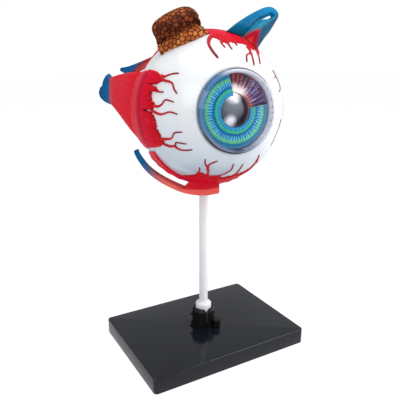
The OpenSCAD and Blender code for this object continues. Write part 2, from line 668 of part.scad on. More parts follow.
module lacrimal_gland() color("#8a4a20") eye() {
    n = 44;
    rings = [for (i = [0:n]) let (f = i / n, s = gland_section(f), m = len(s))
        [for (j = [0:m - 1]) let (bump = j > 0 && j < m - 4 && i > 0 && i < n
                ? cobble * abs(sin(180 * (f * 13 + 0.5 * (j % 2)))) * (j % 2 == 1 ? 1 : 0.4) : 0,
            c = lerp(gland_from + lobe_nose * s[j][2], gland_to - lobe_temple * s[j][2], f),
            r = s[j][0] + bump)
            [-r * sin(c), r * cos(c), s[j][1]]]];
    m = len(rings[0]);
    points = [for (ring = rings) each ring];
    polyhedron(points, concat(
        [for (i = [0:n - 1]) for (j = [0:m - 1]) let (a = i * m + j, b = i * m + (j + 1) % m)
            each [[a, a + m, b], [b, a + m, b + m]]],
        [[for (j = [0:m - 1]) j], [for (j = [m - 1:-1:0]) n * m + j]]));
}

base_plate();
socket_clip();
support_rod();
sclera_back();
sclera_front();
choroid_back();
choroid_front();
retina_back();
retina_front();
vitreous_body();
lens();
ciliary_body();
iris();
cornea();
nerve_sheath();
optic_nerve();
central_vessels();
lateral_insertion();
superior_insertion();
inferior_insertion();
nasal_vessels();
lateral_rectus();
medial_rectus();
superior_rectus();
inferior_rectus();
superior_oblique();
inferior_oblique();
lacrimal_gland();
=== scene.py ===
"""Looks of the eye anatomy model: finer muscles, pads, vessels, gland and base, and every finish."""
import math

import bpy
import numpy as np
from mathutils import Matrix, Vector


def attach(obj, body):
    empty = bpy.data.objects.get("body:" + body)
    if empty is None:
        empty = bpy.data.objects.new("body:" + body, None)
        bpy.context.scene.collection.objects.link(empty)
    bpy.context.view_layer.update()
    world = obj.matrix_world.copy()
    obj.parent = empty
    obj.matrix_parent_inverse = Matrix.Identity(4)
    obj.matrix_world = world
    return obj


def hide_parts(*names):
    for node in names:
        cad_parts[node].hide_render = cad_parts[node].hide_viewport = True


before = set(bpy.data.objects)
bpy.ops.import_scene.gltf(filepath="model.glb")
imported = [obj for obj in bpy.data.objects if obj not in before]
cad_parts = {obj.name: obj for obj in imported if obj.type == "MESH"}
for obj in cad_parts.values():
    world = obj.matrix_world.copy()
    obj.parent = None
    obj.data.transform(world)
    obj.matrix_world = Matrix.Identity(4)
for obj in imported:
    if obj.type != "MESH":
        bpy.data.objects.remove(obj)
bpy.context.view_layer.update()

MM = 0.001
rng = np.random.default_rng(7)

# ---------- the eyeball's own frame, in millimetres ----------
# x to the nose's side, y up, z along the gaze

BALL = np.array([0, -6, 152.3])  # centre of the eyeball, on the stand
TURN, TILT = math.radians(-8.4), math.radians(86.9)
BALL_R = 42.3  # radius of the eyeball
SEAM = 8.0  # seam of the two shells, in front of the centre
SEAM_GAP = 0.15  # what lies on either shell stays this far off the seam
PROUD = 0.05  # reliefs start this far over the shell
EDGE = 100 * (SEAM - SEAM_GAP) / BALL_R
SEAM_ANGLE = math.degrees(math.acos((SEAM + SEAM_GAP) / BALL_R))


def turned(angle, axis):
    """Rotation matrix by an angle about the x or the z axis."""
    c, s = math.cos(angle), math.sin(angle)
    if axis == "z":
        return np.array([[c, -s, 0], [s, c, 0], [0, 0, 1]])
    return np.array([[1, 0, 0], [0, c, -s], [0, s, c]])


EYE = turned(TURN, "z") @ turned(TILT, "x")


def from_eye(points):
    """Row-frame metres of points in the eyeball's frame."""
    return (np.asarray(points, float) @ EYE.T + BALL) * MM


def at(temple, up, forward):
    """A point of the eyeball's frame: to the temple, up and forward, in hundredths of the radius."""
    return [-temple * BALL_R / 100, up * BALL_R / 100, forward * BALL_R / 100]


def on_ball(radius, angle, clock):
    """Point at a radius, an angle from the gaze and a clock angle from the top to the temple."""
    a, c = np.radians(angle), np.radians(clock)
    return np.stack(
        [-np.sin(a) * np.sin(c), np.sin(a) * np.cos(c), np.cos(a) + 0 * c], -1
    ) * np.asarray(radius)[..., None]


def unit(v):
    """Vectors scaled to length one."""
    return v / np.maximum(np.linalg.norm(v, axis=-1, keepdims=True), 1e-9)


def lerp(a, b, f):
    """The value at share f between a and b."""
    return a + (b - a) * f


def smooth(x, low, high):
    """0 below low, 1 above high, and an S-shaped step between."""
    t = np.clip((x - low) / (high - low), 0, 1)
    return t * t * (3 - 2 * t)


def between(a, b, c, d, t):
    """Catmull-Rom blend: the point at share t from b to c, with a and d as the neighbours beyond."""
    return 0.5 * (2 * b + (c - a) * t + (2 * a - 5 * b + 4 * c - d) * t**2 + (3 * b - a - 3 * c + d) * t**3)


def curve(points, share):
    """Smooth curve through the points, at each share from 0 to 1 of it."""
    p, share = np.asarray(points, float), np.asarray(share, float)
    m = len(p) - 1
    k = np.minimum((share * m).astype(int), m - 1)
    t = (share * m - k)[..., None]
    return between(p[np.maximum(k - 1, 0)], p[k], p[k + 1], p[np.minimum(k + 2, m)], t)


# ---------- meshes ----------


def piece(name, points, faces, body, nodes, look, uv=None, tint=None, sharp=40):
    """A mesh object from points in metres and quad or triangle rows of vertex numbers."""
    mesh = bpy.data.meshes.new(name)
    faces = [np.asarray(f) for f in faces]
    corners = np.concatenate([f.ravel() for f in faces])
    sizes = np.concatenate([np.full(len(f), f.shape[1]) for f in faces])
    mesh.vertices.add(len(points))
    mesh.vertices.foreach_set("co", np.asarray(points, np.float32).ravel())
    mesh.loops.add(len(corners))
    mesh.loops.foreach_set("vertex_index", corners.astype(np.int32))
    mesh.polygons.add(len(sizes))
    mesh.polygons.foreach_set("loop_start", (np.cumsum(sizes) - sizes).astype(np.int32))
    mesh.update(calc_edges=True)
    mesh.validate()
    if uv is not None:
        layer = mesh.uv_layers.new(name="grain")
        index = np.zeros(len(mesh.loops), np.int32)
        mesh.loops.foreach_get("vertex_index", index)
        layer.data.foreach_set("uv", np.asarray(uv, np.float32)[index].ravel())
    if tint is not None:
        colours = mesh.color_attributes.new("cell", "FLOAT_COLOR", "POINT")
        full = np.concatenate([tint, np.ones((len(tint), 1))], 1)
        colours.data.foreach_set("color", full.astype(np.float32).ravel())
    mesh.shade_smooth()
    mesh.set_sharp_from_angle(angle=math.radians(sharp))
    obj = bpy.data.objects.new(name, mesh)
    bpy.context.scene.collection.objects.link(obj)
    mesh.materials.append(look)
    if nodes:
        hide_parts(*nodes)
    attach(obj, body)
    return obj


def grid_quads(rows, columns, start=0, around=False):
    """Quads of a grid whose rows x columns point outwards, closed across the columns if around."""
    i, j = np.meshgrid(np.arange(rows - 1), np.arange(columns if around else columns - 1), indexing="ij")
    k = (j + 1) % columns
    return (
        start
        + np.stack(
            [i * columns + j, i * columns + k, (i + 1) * columns + k, (i + 1) * columns + j], -1
        ).reshape(-1, 4)
    )


def slab(top, bottom):
    """Closed solid between two grids of the same size: points, faces and the share along and across."""
    n, m = top.shape[:2]
    size = n * m
    under = grid_quads(n, m)[:, ::-1] + size
    ring = np.concatenate(
        [
            np.arange(m - 1), np.arange(n - 1) * m + m - 1, size - 1 - np.arange(m - 1),
            (n - 1 - np.arange(n - 1)) * m,
        ]
    )
    after = np.roll(ring, -1)
    sides = np.stack([ring, ring + size, after + size, after], -1)
    u, v = np.meshgrid(np.linspace(0, 1, n), np.linspace(0, 1, m), indexing="ij")
    uv = np.tile(np.stack([u, v], -1).reshape(-1, 2), (2, 1))
    points = np.concatenate([top.reshape(-1, 3), bottom.reshape(-1, 3)])
    return points, [grid_quads(n, m), under, sides], uv


def joined(parts):
    """Several (points, faces, uv) solids as one."""
    points, faces, uvs, start = [], [], [], 0
    for p, f, uv in parts:
        points.append(p)
        faces += [np.asarray(g) + start for g in f]
        uvs.append(uv)
        start += len(p)
    return np.concatenate(points), faces, np.concatenate(uvs)


def clear_ball(p, radius=BALL_R + 0.1):
    """Points pushed out of the eyeball; those in front of its centre keep their level."""
    z = p[..., 2:]
    flat = p[..., :2]
    room = np.sqrt(np.maximum(radius**2 - z**2, 1))
    front = np.concatenate(
        [flat * np.maximum(1, room / np.linalg.norm(flat, axis=-1, keepdims=True)), z], -1
    )
    back = p * np.maximum(1, radius / np.linalg.norm(p, axis=-1, keepdims=True))
    return np.where(z > 0, front, back)


def fibres(u, v, count, wander, seed):
    """Grooves between fibres that run along u: rounded ridges across v, whose places drift with u."""
    draw = np.random.default_rng(seed)
    phase = v * count
    for k in range(4):
        phase = phase + wander * np.sin(
            2 * np.pi * (v * draw.uniform(1, 6) + u * draw.uniform(0.3, 1.6) + draw.random())
        )
    return 1 - np.abs(np.sin(np.pi * phase)) ** 0.7


def strap(left, right, t0, t1, n, m, hug=True, count=26, depth=0.16, wander=0.35, seed=1, tip=0.05, feet=0):
    """Muscle between the curves through left and right: a ruled surface that stays outside the
    eyeball, thickened from t0 to t1 along its normals, with rounded edges, a rounded end over the
    last share tip of its length or both ends thinned over the share feet, and fine grooves."""
    u, v = np.meshgrid(np.linspace(0, 1, n), 0.5 - 0.5 * np.cos(np.linspace(0, np.pi, m)), indexing="ij")
    a, b = curve(left, u[:, 0]), curve(right, u[:, 0])
    base = lerp(a[:, None], b[:, None], v[..., None])
    if hug:
        base = clear_ball(base)
    along, across = np.gradient(base, axis=0), np.gradient(base, axis=1)
    normal = unit(np.cross(along, across))
    edge = np.sqrt(np.clip(1 - np.abs(2 * v - 1) ** 6, 0, 1))
    end = np.sqrt(np.clip(1 - np.clip((u - 1 + tip) / tip, 0, 1) ** 2, 0, 1)) if tip else 1
    thick = lerp(t0, t1, u) * (0.1 + 0.9 * edge * end)
    if feet:
        thick = thick * lerp(0.3, 1, smooth(np.minimum(u, 1 - u), 0, feet))
    thick = thick - fibres(u, v, count, wander, seed) * depth * edge
    points, faces, uv = slab(base + normal * thick[..., None], base)
    uv[:, 1] = np.tile(v.ravel(), 2)
    return points, faces, uv


def pad(front, back, n, m, high, teeth, seed, notches=()):
    """Pad on the front shell: angle from the gaze runs from a jagged front edge to the back edge,
    clock angle runs across, and the height grows from low at an angle of 56 degrees to high, the
    muscle's own, at the seam. A notch is a bell-shaped dent of the front edge at a clock angle."""
    draw = np.random.default_rng(seed)
    low, flat_to, notch_width = 0.5, 56, 0.8
    clocks = np.linspace(front[0][0], front[-1][0], m)
    edge = np.interp(clocks, *np.transpose(front))
    place = np.cumsum(draw.uniform(0.6, 1.5, teeth))
    place = place / place[-1] * (m - 1)
    long = np.interp(
        np.arange(m), place, draw.uniform(-1.4, 1.6, teeth) * np.where(np.arange(teeth) % 2, 1, -0.6)
    )
    for clock, deep in notches:
        long = long + deep * np.exp(-(((clocks - clock) / notch_width) ** 2))
    rear = np.minimum(SEAM_ANGLE, np.interp(clocks, *np.transpose(back)))
    u, v = np.meshgrid(np.linspace(0, 1, n), np.linspace(0, 1, m), indexing="ij")
    angle = lerp((edge + long)[None], rear[None], u)
    clock = np.broadcast_to(clocks[None], u.shape)
    rise = low + (high - low) * np.clip((angle - flat_to) / (SEAM_ANGLE - flat_to), 0, 1)
    side = np.sqrt(np.clip(1 - np.abs(2 * v - 1) ** 14, 0, 1))
    rise = rise * (0.15 + 0.85 * np.sqrt(smooth(u, 0, 0.12))) * (0.25 + 0.75 * side)
    rise = rise - fibres(u, v, teeth * 0.8, 0.25, seed) * 0.14 * smooth(u, 0.05, 0.2)
    return slab(on_ball(BALL_R + rise, angle, clock), on_ball(BALL_R + PROUD + 0 * rise, angle, clock))


def vessel(route, w0=1.5, w1=None):
    """Half-round vessel on the shell along a smooth route of angles from the gaze and clock
    angles: a half circle carried along the route, from width w0 to w1 at its pointed end."""
    w1 = w0 * 0.4 if w1 is None else w1
    n, m = 10 * (len(route) - 1) + 1, 9
    share = np.linspace(0, 1, n)
    path = curve(route, share)
    out = on_ball(np.ones(n), path[:, 0], path[:, 1])
    along = np.gradient(out, axis=0)
    side = unit(np.cross(along, out))
    width = lerp(w0, w1, share) * (1 + 0.1 * np.sin(share * 9)) * np.sqrt(
        np.clip(1 - np.clip((share - 0.93) / 0.07, 0, 1) ** 2, 0.01, 1)
    )
    x = np.cos(np.linspace(0, np.pi, m))
    lift = 0.06 + 0.46 * np.sin(np.linspace(0, np.pi, m))
    sideways = side[:, None] * (x[None] * width[:, None] / 2)[..., None]
    top = out[:, None] * (BALL_R + PROUD + lift[None] * width[:, None])[..., None] + sideways
    bottom = out[:, None] * np.full((n, m), BALL_R + 0.03)[..., None] + sideways
    return slab(top, bottom)


# ---------- node maths ----------


class Val:
    """A socket of a finish; arithmetic on it adds Math nodes."""

    def __init__(self, look, socket):
        self.look, self.socket = look, socket

    def math(self, operation, *values):
        return self.look.node("Math", {"operation": operation}, dict(enumerate(values)))

    def __add__(self, other):
        return self.math("ADD", self, other)

    __radd__ = __add__

    def __mul__(self, other):
        return self.math("MULTIPLY", self, other)

    __rmul__ = __mul__

    def __sub__(self, other):
        return self.math("SUBTRACT", self, other)

    def __rsub__(self, other):
        return self.math("SUBTRACT", other, self)

    def __truediv__(self, other):
        return self.math("DIVIDE", self, other)

    def __pow__(self, other):
        return self.math("POWER", self, other)

    def step(self, low, high):
        """0 below low, 1 above high, S-shaped between."""
        return self.look.node(
            "MapRange", {"interpolation_type": "SMOOTHSTEP"},
            {"Value": self, "From Min": low, "From Max": high},
        )

    def band(self, centre, half, soft):
        """1 within half of the centre, falling to 0 over soft."""
        return 1 - (self - centre).size().step(half, half + soft)

    def sin(self):
        return self.math("SINE", self)

    def size(self):
        """The value without its sign."""
        return self.math("ABSOLUTE", self)


def srgb(*colour):
    """Linear colour of 0 to 255 display values."""
    c = np.asarray(colour, float) / 255
    return [*np.where(c <= 0.04045, c / 12.92, ((c + 0.055) / 1.055) ** 2.4), 1.0]


class Look:
    """One finish: a new material, or a world, whose nodes are added by node() and ended by skin()
    or end()."""

    def __init__(self, name, world=None):
        self.material = world or bpy.data.materials.new(name)
        self.material.use_nodes = True
        self.tree = self.material.node_tree
        self.tree.nodes.clear()

    def node(self, kind, settings=None, inputs=None, out=0):
        """Any node by its type, with its settings or ramp stops, and the values or links of its sockets."""
        n = self.tree.nodes.new("ShaderNode" + kind)
        for key, value in (settings or {}).items():
            if key == "stops":
                ramp = n.color_ramp
                while len(ramp.elements) > 1:
                    ramp.elements.remove(ramp.elements[-1])
                for k, (place, colour) in enumerate(value):
                    stop = ramp.elements[0] if k == 0 else ramp.elements.new(place)
                    stop.position, stop.color = place, colour
            else:
                setattr(n, key, value)
        for key, value in (inputs or {}).items():
            if isinstance(value, Val):
                self.tree.links.new(value.socket, n.inputs[key])
            else:
                n.inputs[key].default_value = value
        return Val(self, n.outputs[out])

    def place(self, source="Object"):
        """Object coordinates, or the piece's grain map with source UV."""
        return self.node("TexCoord", out=source)

    def eye_place(self):
        """Coordinates in the eyeball's frame, in millimetres."""
        return self.node(
            "Mapping", {"vector_type": "TEXTURE"},
            {
                "Vector": self.place(), "Location": tuple(BALL * MM), "Rotation": (TILT, 0, TURN),
                "Scale": (MM,) * 3,
            },
        )

    def scaled(self, vector, scale):
        return self.node("Mapping", {}, {"Vector": vector, "Scale": scale})

    def from_axis(self):
        """Coordinates in the eyeball's frame, their x and y, and the distance from the gaze axis."""
        place = self.eye_place()
        x, y, z = self.split(place)
        return place, x, y, (x * x + y * y) ** 0.5

    def split(self, vector):
        """The x, y and z of a vector."""
        n = self.node("SeparateXYZ", {}, {"Vector": vector}).socket.node
        return [Val(self, n.outputs[k]) for k in range(3)]

    def vector(self, x, y, z=0.0):
        return self.node("CombineXYZ", {}, {"X": x, "Y": y, "Z": z})

    def noise(self, vector, scale, detail=3.0, rough=0.5, warp=0.0):
        return self.node(
            "TexNoise", {},
            {
                "Vector": vector, "Scale": scale, "Detail": detail, "Roughness": rough,
                "Distortion": warp,
            },
        )

    def ramp(self, value, stops):
        return self.node("ValToRGB", {"stops": stops}, {"Fac": value})

    def mix(self, factor, a, b, blend="MIX"):
        """Colour a towards colour b by the factor."""
        return self.node("Mix", {"data_type": "RGBA", "blend_type": blend}, {0: factor, 6: a, 7: b}, out=2)

    def bump(self, height, distance, strength=1.0):
        return self.node("Bump", {}, {"Height": height, "Distance": distance, "Strength": strength})

    def skin(self, colour, roughness=0.4, normal=None, **constants):
        """Ends the finish in a Principled surface and returns the material."""
        inputs = {"Base Color": colour, "Roughness": roughness}
        if normal is not None:
            inputs["Normal"] = normal
        inputs.update({key.replace("_", " "): value for key, value in constants.items()})
        return self.end(self.node("BsdfPrincipled", {}, inputs))

    def see_through(self, amount, colour, rough, extra):
        """Ends the finish in clear plastic that shows a painted surface by the amount."""
        amount = self.node("Clamp", {}, {"Value": amount})
        surface = self.node("BsdfPrincipled", {}, {"Base Color": colour, "Roughness": rough, **extra})
        clear = self.node("BsdfTransparent", {}, {"Color": (1, 1, 1, 1)})
        return self.end(self.node("MixShader", {}, {0: amount, 1: clear, 2: surface}))

    def end(self, shader, kind="Material"):
        """Links the shader to the output of a material or of a world."""
        out = self.tree.nodes.new("ShaderNodeOutput" + kind)
        self.tree.links.new(shader.socket, out.inputs["Surface"])
        return self.material


PAINTED = {"Specular_IOR_Level": 0.08, "Coat_Weight": 0.03, "Coat_Roughness": 0.15}


def wear(node, look):
    """A CAD node takes a finish in all its slots."""
    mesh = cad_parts[node].data
    mesh.materials.clear()
    mesh.materials.append(look)


# ---------- finishes of the eyeball ----------


def white_shell_look(name, veins=0.0):
    """Glossy white with faint clouds, blue-grey painted shade below and to the temple's side, and fine
    painted veins where they are wanted."""
    look = Look(name)
    place = look.eye_place()
    cloud = look.noise(place, 0.06, 3)
    x, y, z = look.split(place)
    colour = look.mix(cloud.step(0.35, 0.75), srgb(250, 251, 252), srgb(243, 246, 248))
    # painted shade: blue-grey towards the bottom and the temple's side
    low = 1 - (y + x * 0.3).step(-44, -4)
    colour = look.mix(low, colour, srgb(190, 203, 216))
    if veins:
        warp = look.noise(place, 0.12, 4, 0.6, 1.2)
        line = warp.band(0.5, 0.004, 0.008) * look.noise(place, 0.05, 2).step(0.5, 0.62)
        colour = look.mix(line * veins, colour, srgb(206, 96, 100))
    fine = look.noise(place, 1.4, 2)
    return look.skin(
        colour, 0.22 + fine * 0.06, look.bump(fine, 0.00003), Coat_Weight=0.35, Coat_Roughness=0.08
    )


def iris_look():
    """Painted iris: blue rings by the distance from the gaze axis, two broken green rings, and
    light and dark dashes that run along the radius, one for each wave of the direction's sine."""
    look = Look("painted_iris")
    place, x, y, r = look.from_axis()
    turn = look.node("Math", {"operation": "ARCTAN2"}, {0: y, 1: x})
    drift = look.noise(look.vector(x / r, y / r, 0.0), 5, 2, 0.6)
    other = look.noise(look.vector(x / r, y / r, r * 0.05), 9, 2, 0.6)
    dash = (turn * 52 + drift * 9).sin() * 0.5 + 0.5
    fine = (turn * 64 + other * 9).sin() * 0.5 + 0.5
    patch = look.noise(place, 0.35, 2)
    wobble = r + (patch - 0.5) * 0.5
    inner, outer = 7.9, 19.4
    stops = [
        (7.9, (8, 60, 110)), (8.3, (20, 122, 182)), (9.2, (24, 158, 210)), (10.0, (18, 140, 196)),
        (11.7, (10, 124, 192)), (12.6, (4, 106, 184)), (13.5, (24, 156, 222)), (14.6, (58, 194, 234)),
        (15.5, (82, 206, 214)), (16.4, (54, 176, 198)), (17.2, (44, 144, 192)), (18.3, (74, 152, 198)),
        (19.0, (90, 144, 184)), (19.4, (84, 100, 130)),
    ]
    rings = look.ramp(
        (wobble - inner) / (outer - inner),
        [((s - inner) / (outer - inner), srgb(*c)) for s, c in stops],
    )
    dark = r.band(13.6, 2.3, 0.6) * (1 - fine).step(0.4, 0.8)
    colour = look.mix(dark * 0.55, rings, srgb(0, 92, 158))
    green = (r + (drift - 0.5) * 0.8).band(10.75, 0.4, 0.45) * (dash.step(0.15, 0.8) * 0.5 + 0.5)
    colour = look.mix(green, colour, srgb(80, 214, 96))
    light = r.band(14.4, 1.2, 1.0) * fine.step(0.35, 0.95) * (patch.step(0.3, 0.7) * 0.5 + 0.5)
    colour = look.mix(light * 0.85, colour, srgb(140, 232, 240))
    beads = (r + (other - 0.5) * 0.7).band(15.75, 0.55, 0.5) * (fine.step(0.15, 0.8) * 0.5 + 0.5)
    colour = look.mix(beads, colour, srgb(140, 232, 150))
    ticks = r.band(9.0, 0.6, 0.4) * dash.step(0.55, 0.9)
    colour = look.mix(ticks * 0.55, colour, srgb(110, 200, 232))
    colour = look.mix(patch.step(0.5, 0.75) * 0.15, colour, srgb(20, 90, 150))
    height = fine * 0.6 + dash * 0.4
    return look.skin(
        colour, 0.4, look.bump(height, 0.0002, 0.5), Specular_IOR_Level=0.12, Coat_Weight=0.05,
        Coat_Roughness=0.15,
    )


def ciliary_look():
    """Radial folds: dark maroon and red above, purple and lilac to the nose's side, a salmon edge towards
    the lens, and elsewhere a pale painted highlight towards the lens that also glows."""
    look = Look("ciliary_folds")
    place, x, y, r = look.from_axis()
    nose = x / r
    streak = look.noise(look.vector(nose, y / r, r * 0.02), 8, 2, 0.5, 0.3)
    tone = look.noise(look.vector(nose, y / r, 0.3), 6, 2)
    side = (nose + (tone - 0.5) * 0.5).step(0.25, 0.7)
    mid = look.mix(side, srgb(172, 44, 62), srgb(128, 84, 156))
    shade = look.mix(side, srgb(60, 4, 34), srgb(86, 46, 104))
    colour = look.mix(streak.step(0.38, 0.5), shade, mid)
    crest = look.mix(side, srgb(216, 110, 112), srgb(206, 172, 224))
    colour = look.mix(streak.step(0.56, 0.68), colour, crest)
    # glow: pale painted highlight on the inner folds, away from the nose's side
    glow = (1 - (r + (streak - 0.5) * 7).step(10.6, 15.4)) * (1 - nose.step(0.4, 0.8))
    salmon = (1 - (r + (streak - 0.5) * 5).step(10.4, 12.6)) * nose.step(0.4, 0.7)
    colour = look.mix(salmon, colour, srgb(226, 128, 112))
    colour = look.mix(glow, colour, srgb(255, 246, 246))
    colour = look.mix(r.step(17.4, 19.2) * 0.5, colour, srgb(54, 22, 44))
    # painted glow: the painted highlight also gives off light
    painted_glow = look.mix(glow, srgb(0, 0, 0), srgb(255, 240, 240))
    return look.skin(
        colour, 0.45, look.bump(streak, 0.0003, 0.6), Specular_IOR_Level=0.2, Emission_Color=painted_glow,
        Emission_Strength=0.35,
    )


def lens_look():
    """Polished grey lens with painted shade that darkens it downwards, a white painted highlight at its
    top and a soft pale painted highlight below, both of which also glow, and a dark maroon rim."""
    look = Look("polished_lens")
    place, x, y, r = look.from_axis()
    cloud = look.noise(place, 0.35, 2)
    # painted shade: grey that darkens downwards
    band = (y + (cloud - 0.5) * 2).step(-7.5, 5)
    colour = look.mix(band, srgb(66, 64, 74), srgb(140, 142, 150))
    rim = (r + x * 0.12 - y * 0.1).step(6.4, 8.0)
    colour = look.mix(rim, colour, srgb(40, 6, 26))
    # glow: white painted highlight at the top; the spot below is a soft pale painted highlight
    top = ((x - 0.6) * (x - 0.6) + (y - 8.4) * (y - 8.4) * 1.4) ** 0.5
    glow = 1 - (top + (cloud - 0.5) * 1.5).step(1.2, 7.2)
    low = ((x + 1.6) * (x + 1.6) + (y + 5.4) * (y + 5.4)) ** 0.5
    painted_low_highlight = 1 - (low + (cloud - 0.5) * 1.2).step(0.4, 4.8)
    colour = look.mix(glow, colour, srgb(255, 255, 255))
    colour = look.mix(painted_low_highlight, colour, srgb(244, 238, 250))
    # painted glow of both painted highlights
    painted_glow = look.mix(
        look.node("Clamp", {}, {"Value": glow + painted_low_highlight * 0.8}), srgb(0, 0, 0), srgb(255, 255, 255)
    )
    return look.skin(
        colour, 0.18, Specular_IOR_Level=0.25, Coat_Weight=0.3, Coat_Roughness=0.05,
        Emission_Color=painted_glow, Emission_Strength=0.45,
    )


def cornea_look():
    """Clear dome with a moulded rim in painted light: blue painted refraction at the temple's side,
    lilac-white and glowing at the nose's, a pale painted highlight at the top, a thin outline of painted
    shade that is near-black under the temple's side, and a pool of dark blue painted shade at the bottom."""
    look = Look("clear_cornea")
    place, x, y, r = look.from_axis()
    facing = look.node("LayerWeight", {}, {"Blend": 0.35}, out="Facing")
    cloud = look.noise(place, 0.15, 3)
    # painted light on the rim: refraction tints by side, a painted highlight at the top, painted shade
    # underneath
    side = (x + y * 0.3 + (cloud - 0.5) * 5).step(-7, 9)
    top = (y * 0.9 + x * 0.4).step(11, 19)
    under = 1 - (y + x * 0.2).step(-17.5, -10)
    rim = r.step(19.0, 19.6)
    tint = look.mix(side, srgb(84, 140, 190), srgb(232, 234, 246))
    tint = look.mix(under * (1 - side * 0.6), tint, srgb(136, 152, 190))
    tint = look.mix(top, tint, srgb(220, 222, 232))
    # painted shade: a grey line inside the rim and an outline at its edge
    painted_shade_line = r.band(19.75, 0.12, 0.3) * (0.35 + side * 0.4)
    tint = look.mix(painted_shade_line, tint, srgb(98, 100, 132))
    edge = r.step(20.7, 21.1)
    outline = look.mix(side * (1 - top), srgb(30, 36, 56), srgb(146, 148, 166))
    tint = look.mix(edge * (0.6 + top * 0.3), tint, outline)
    # painted shade: near-black under the temple's side, and a dark blue pool at the bottom
    dark = under * (1 - x.step(-1, 7)) * r.step(20.2, 20.9)
    tint = look.mix(dark, tint, srgb(10, 14, 26))
    painted_shade_pool = (1 - (x * x * 0.06 + (r - 19.8) * (r - 19.8) * 3).step(0.4, 1.4)) * under
    tint = look.mix(painted_shade_pool * 0.8, tint, srgb(16, 40, 72))
    amount = (
        0.02 + (facing ** 3) * 0.3 * (1 - rim) + rim * (0.7 - side * 0.3 + top * 0.2)
        + edge * (0.4 - side * 0.25) + dark * 0.4 + painted_shade_pool * 0.4
    )
    # painted glow of the rim at the nose's side
    painted_glow = look.mix(rim * side * (1 - edge) * (1 - under), srgb(0, 0, 0), srgb(222, 226, 244))
    return look.see_through(
        amount, tint, 0.06,
        {
            "Specular IOR Level": 0.4, "Coat Weight": 0.3, "Coat Roughness": 0.03,
            "Emission Color": painted_glow, "Emission Strength": 0.35,
        },
    )


def clear_look(name, tint, faint, rim):
    """Clear plastic: see-through from the front and whiter where the surface turns away."""
    look = Look(name)
    facing = look.node("LayerWeight", {}, {"Blend": 0.35}, out="Facing")
    return look.see_through(
        faint + (facing**2.2) * rim, tint, 0.04, {"Coat Weight": 1.0, "Coat Roughness": 0.02}
    )


def layer_look(name, ground, web, scale, amount):
    """Inner layer: mottled ground with a web of finer vessels."""
    look = Look(name)
    place = look.eye_place()
    cloud = look.noise(place, 0.08, 4)
    colour = look.mix(cloud.step(0.3, 0.7), srgb(*ground), srgb(*[c * 0.82 for c in ground]))
    lines = look.noise(place, scale, 3, 0.55, 0.8)
    net = lines.band(0.5, 0.008, 0.02)
    colour = look.mix(net * amount, colour, srgb(*web))
    return look.skin(colour, 0.45, look.bump(net + cloud * 0.3, 0.0002), Coat_Weight=0.2)


# ---------- finishes of the muscles ----------


def muscle_look(name, stops, light, dark, count, blue_from=2.0, streak=0.45, root=None):
    """Painted muscle: a colour that changes along it, with lighter and darker fibres, bright blue
    ones from the share blue_from on, and a root of its own colour near the pad under the eye."""
    look = Look(name)
    grain = look.place("UV")
    u, v, w = look.split(grain)
    fibre = look.noise(look.vector(u * 1.6, v * count, 0.0), 1.0, 3, 0.6)
    broad = look.noise(look.vector(u * 2.2, v * count * 0.22, 3.0), 1.0, 2)
    along = u + (broad - 0.5) * 0.04
    colour = look.ramp(along, [(place, srgb(*c)) for place, c in stops])
    if root:
        x, y, z = look.split(look.eye_place())
        near = (y + z * 0.12).step(-43.2, -41.9) * (1 - u.step(0.3, 0.42))
        colour = look.mix(near, colour, srgb(*root))
    blue = u.step(blue_from - 0.05, blue_from + 0.03)
    colour = look.mix(fibre.step(0.58, 0.78) * (1 - blue) * streak, colour, srgb(*light))
    colour = look.mix((1 - fibre.step(0.26, 0.46)) * (1 - blue) * streak, colour, srgb(*dark), "MULTIPLY")
    colour = look.mix(fibre.step(0.5, 0.72) * blue * 0.35, colour, srgb(10, 132, 190))
    return look.skin(
        colour, 0.38 + broad * 0.12, look.bump(fibre, 0.00012, 0.6), **PAINTED
    )


def under_muscle_look():
    """Red of the lower muscle by its place in the eyeball's frame, blue at its tip."""
    look = Look("under_muscle")
    place = look.eye_place()
    x, y, z = look.split(place)
    fibre = look.noise(look.scaled(place, (1.5, 1.5, 0.05)), 1.0, 3)
    colour = look.ramp(
        z * -0.0145 + 0.1,
        [
            (0, srgb(236, 26, 52)), (0.5, srgb(226, 24, 44)), (0.78, srgb(176, 34, 52)),
            (0.86, srgb(0, 96, 155)), (1, srgb(0, 92, 150)),
        ],
    )
    colour = look.mix(fibre.step(0.55, 0.75) * 0.4 * z.step(-52, -44), colour, srgb(250, 120, 124))
    colour = look.mix((1 - fibre.step(0.3, 0.5)) * 0.3, colour, srgb(150, 20, 40), "MULTIPLY")
    return look.skin(colour, 0.38, look.bump(fibre, 0.0002), **PAINTED)


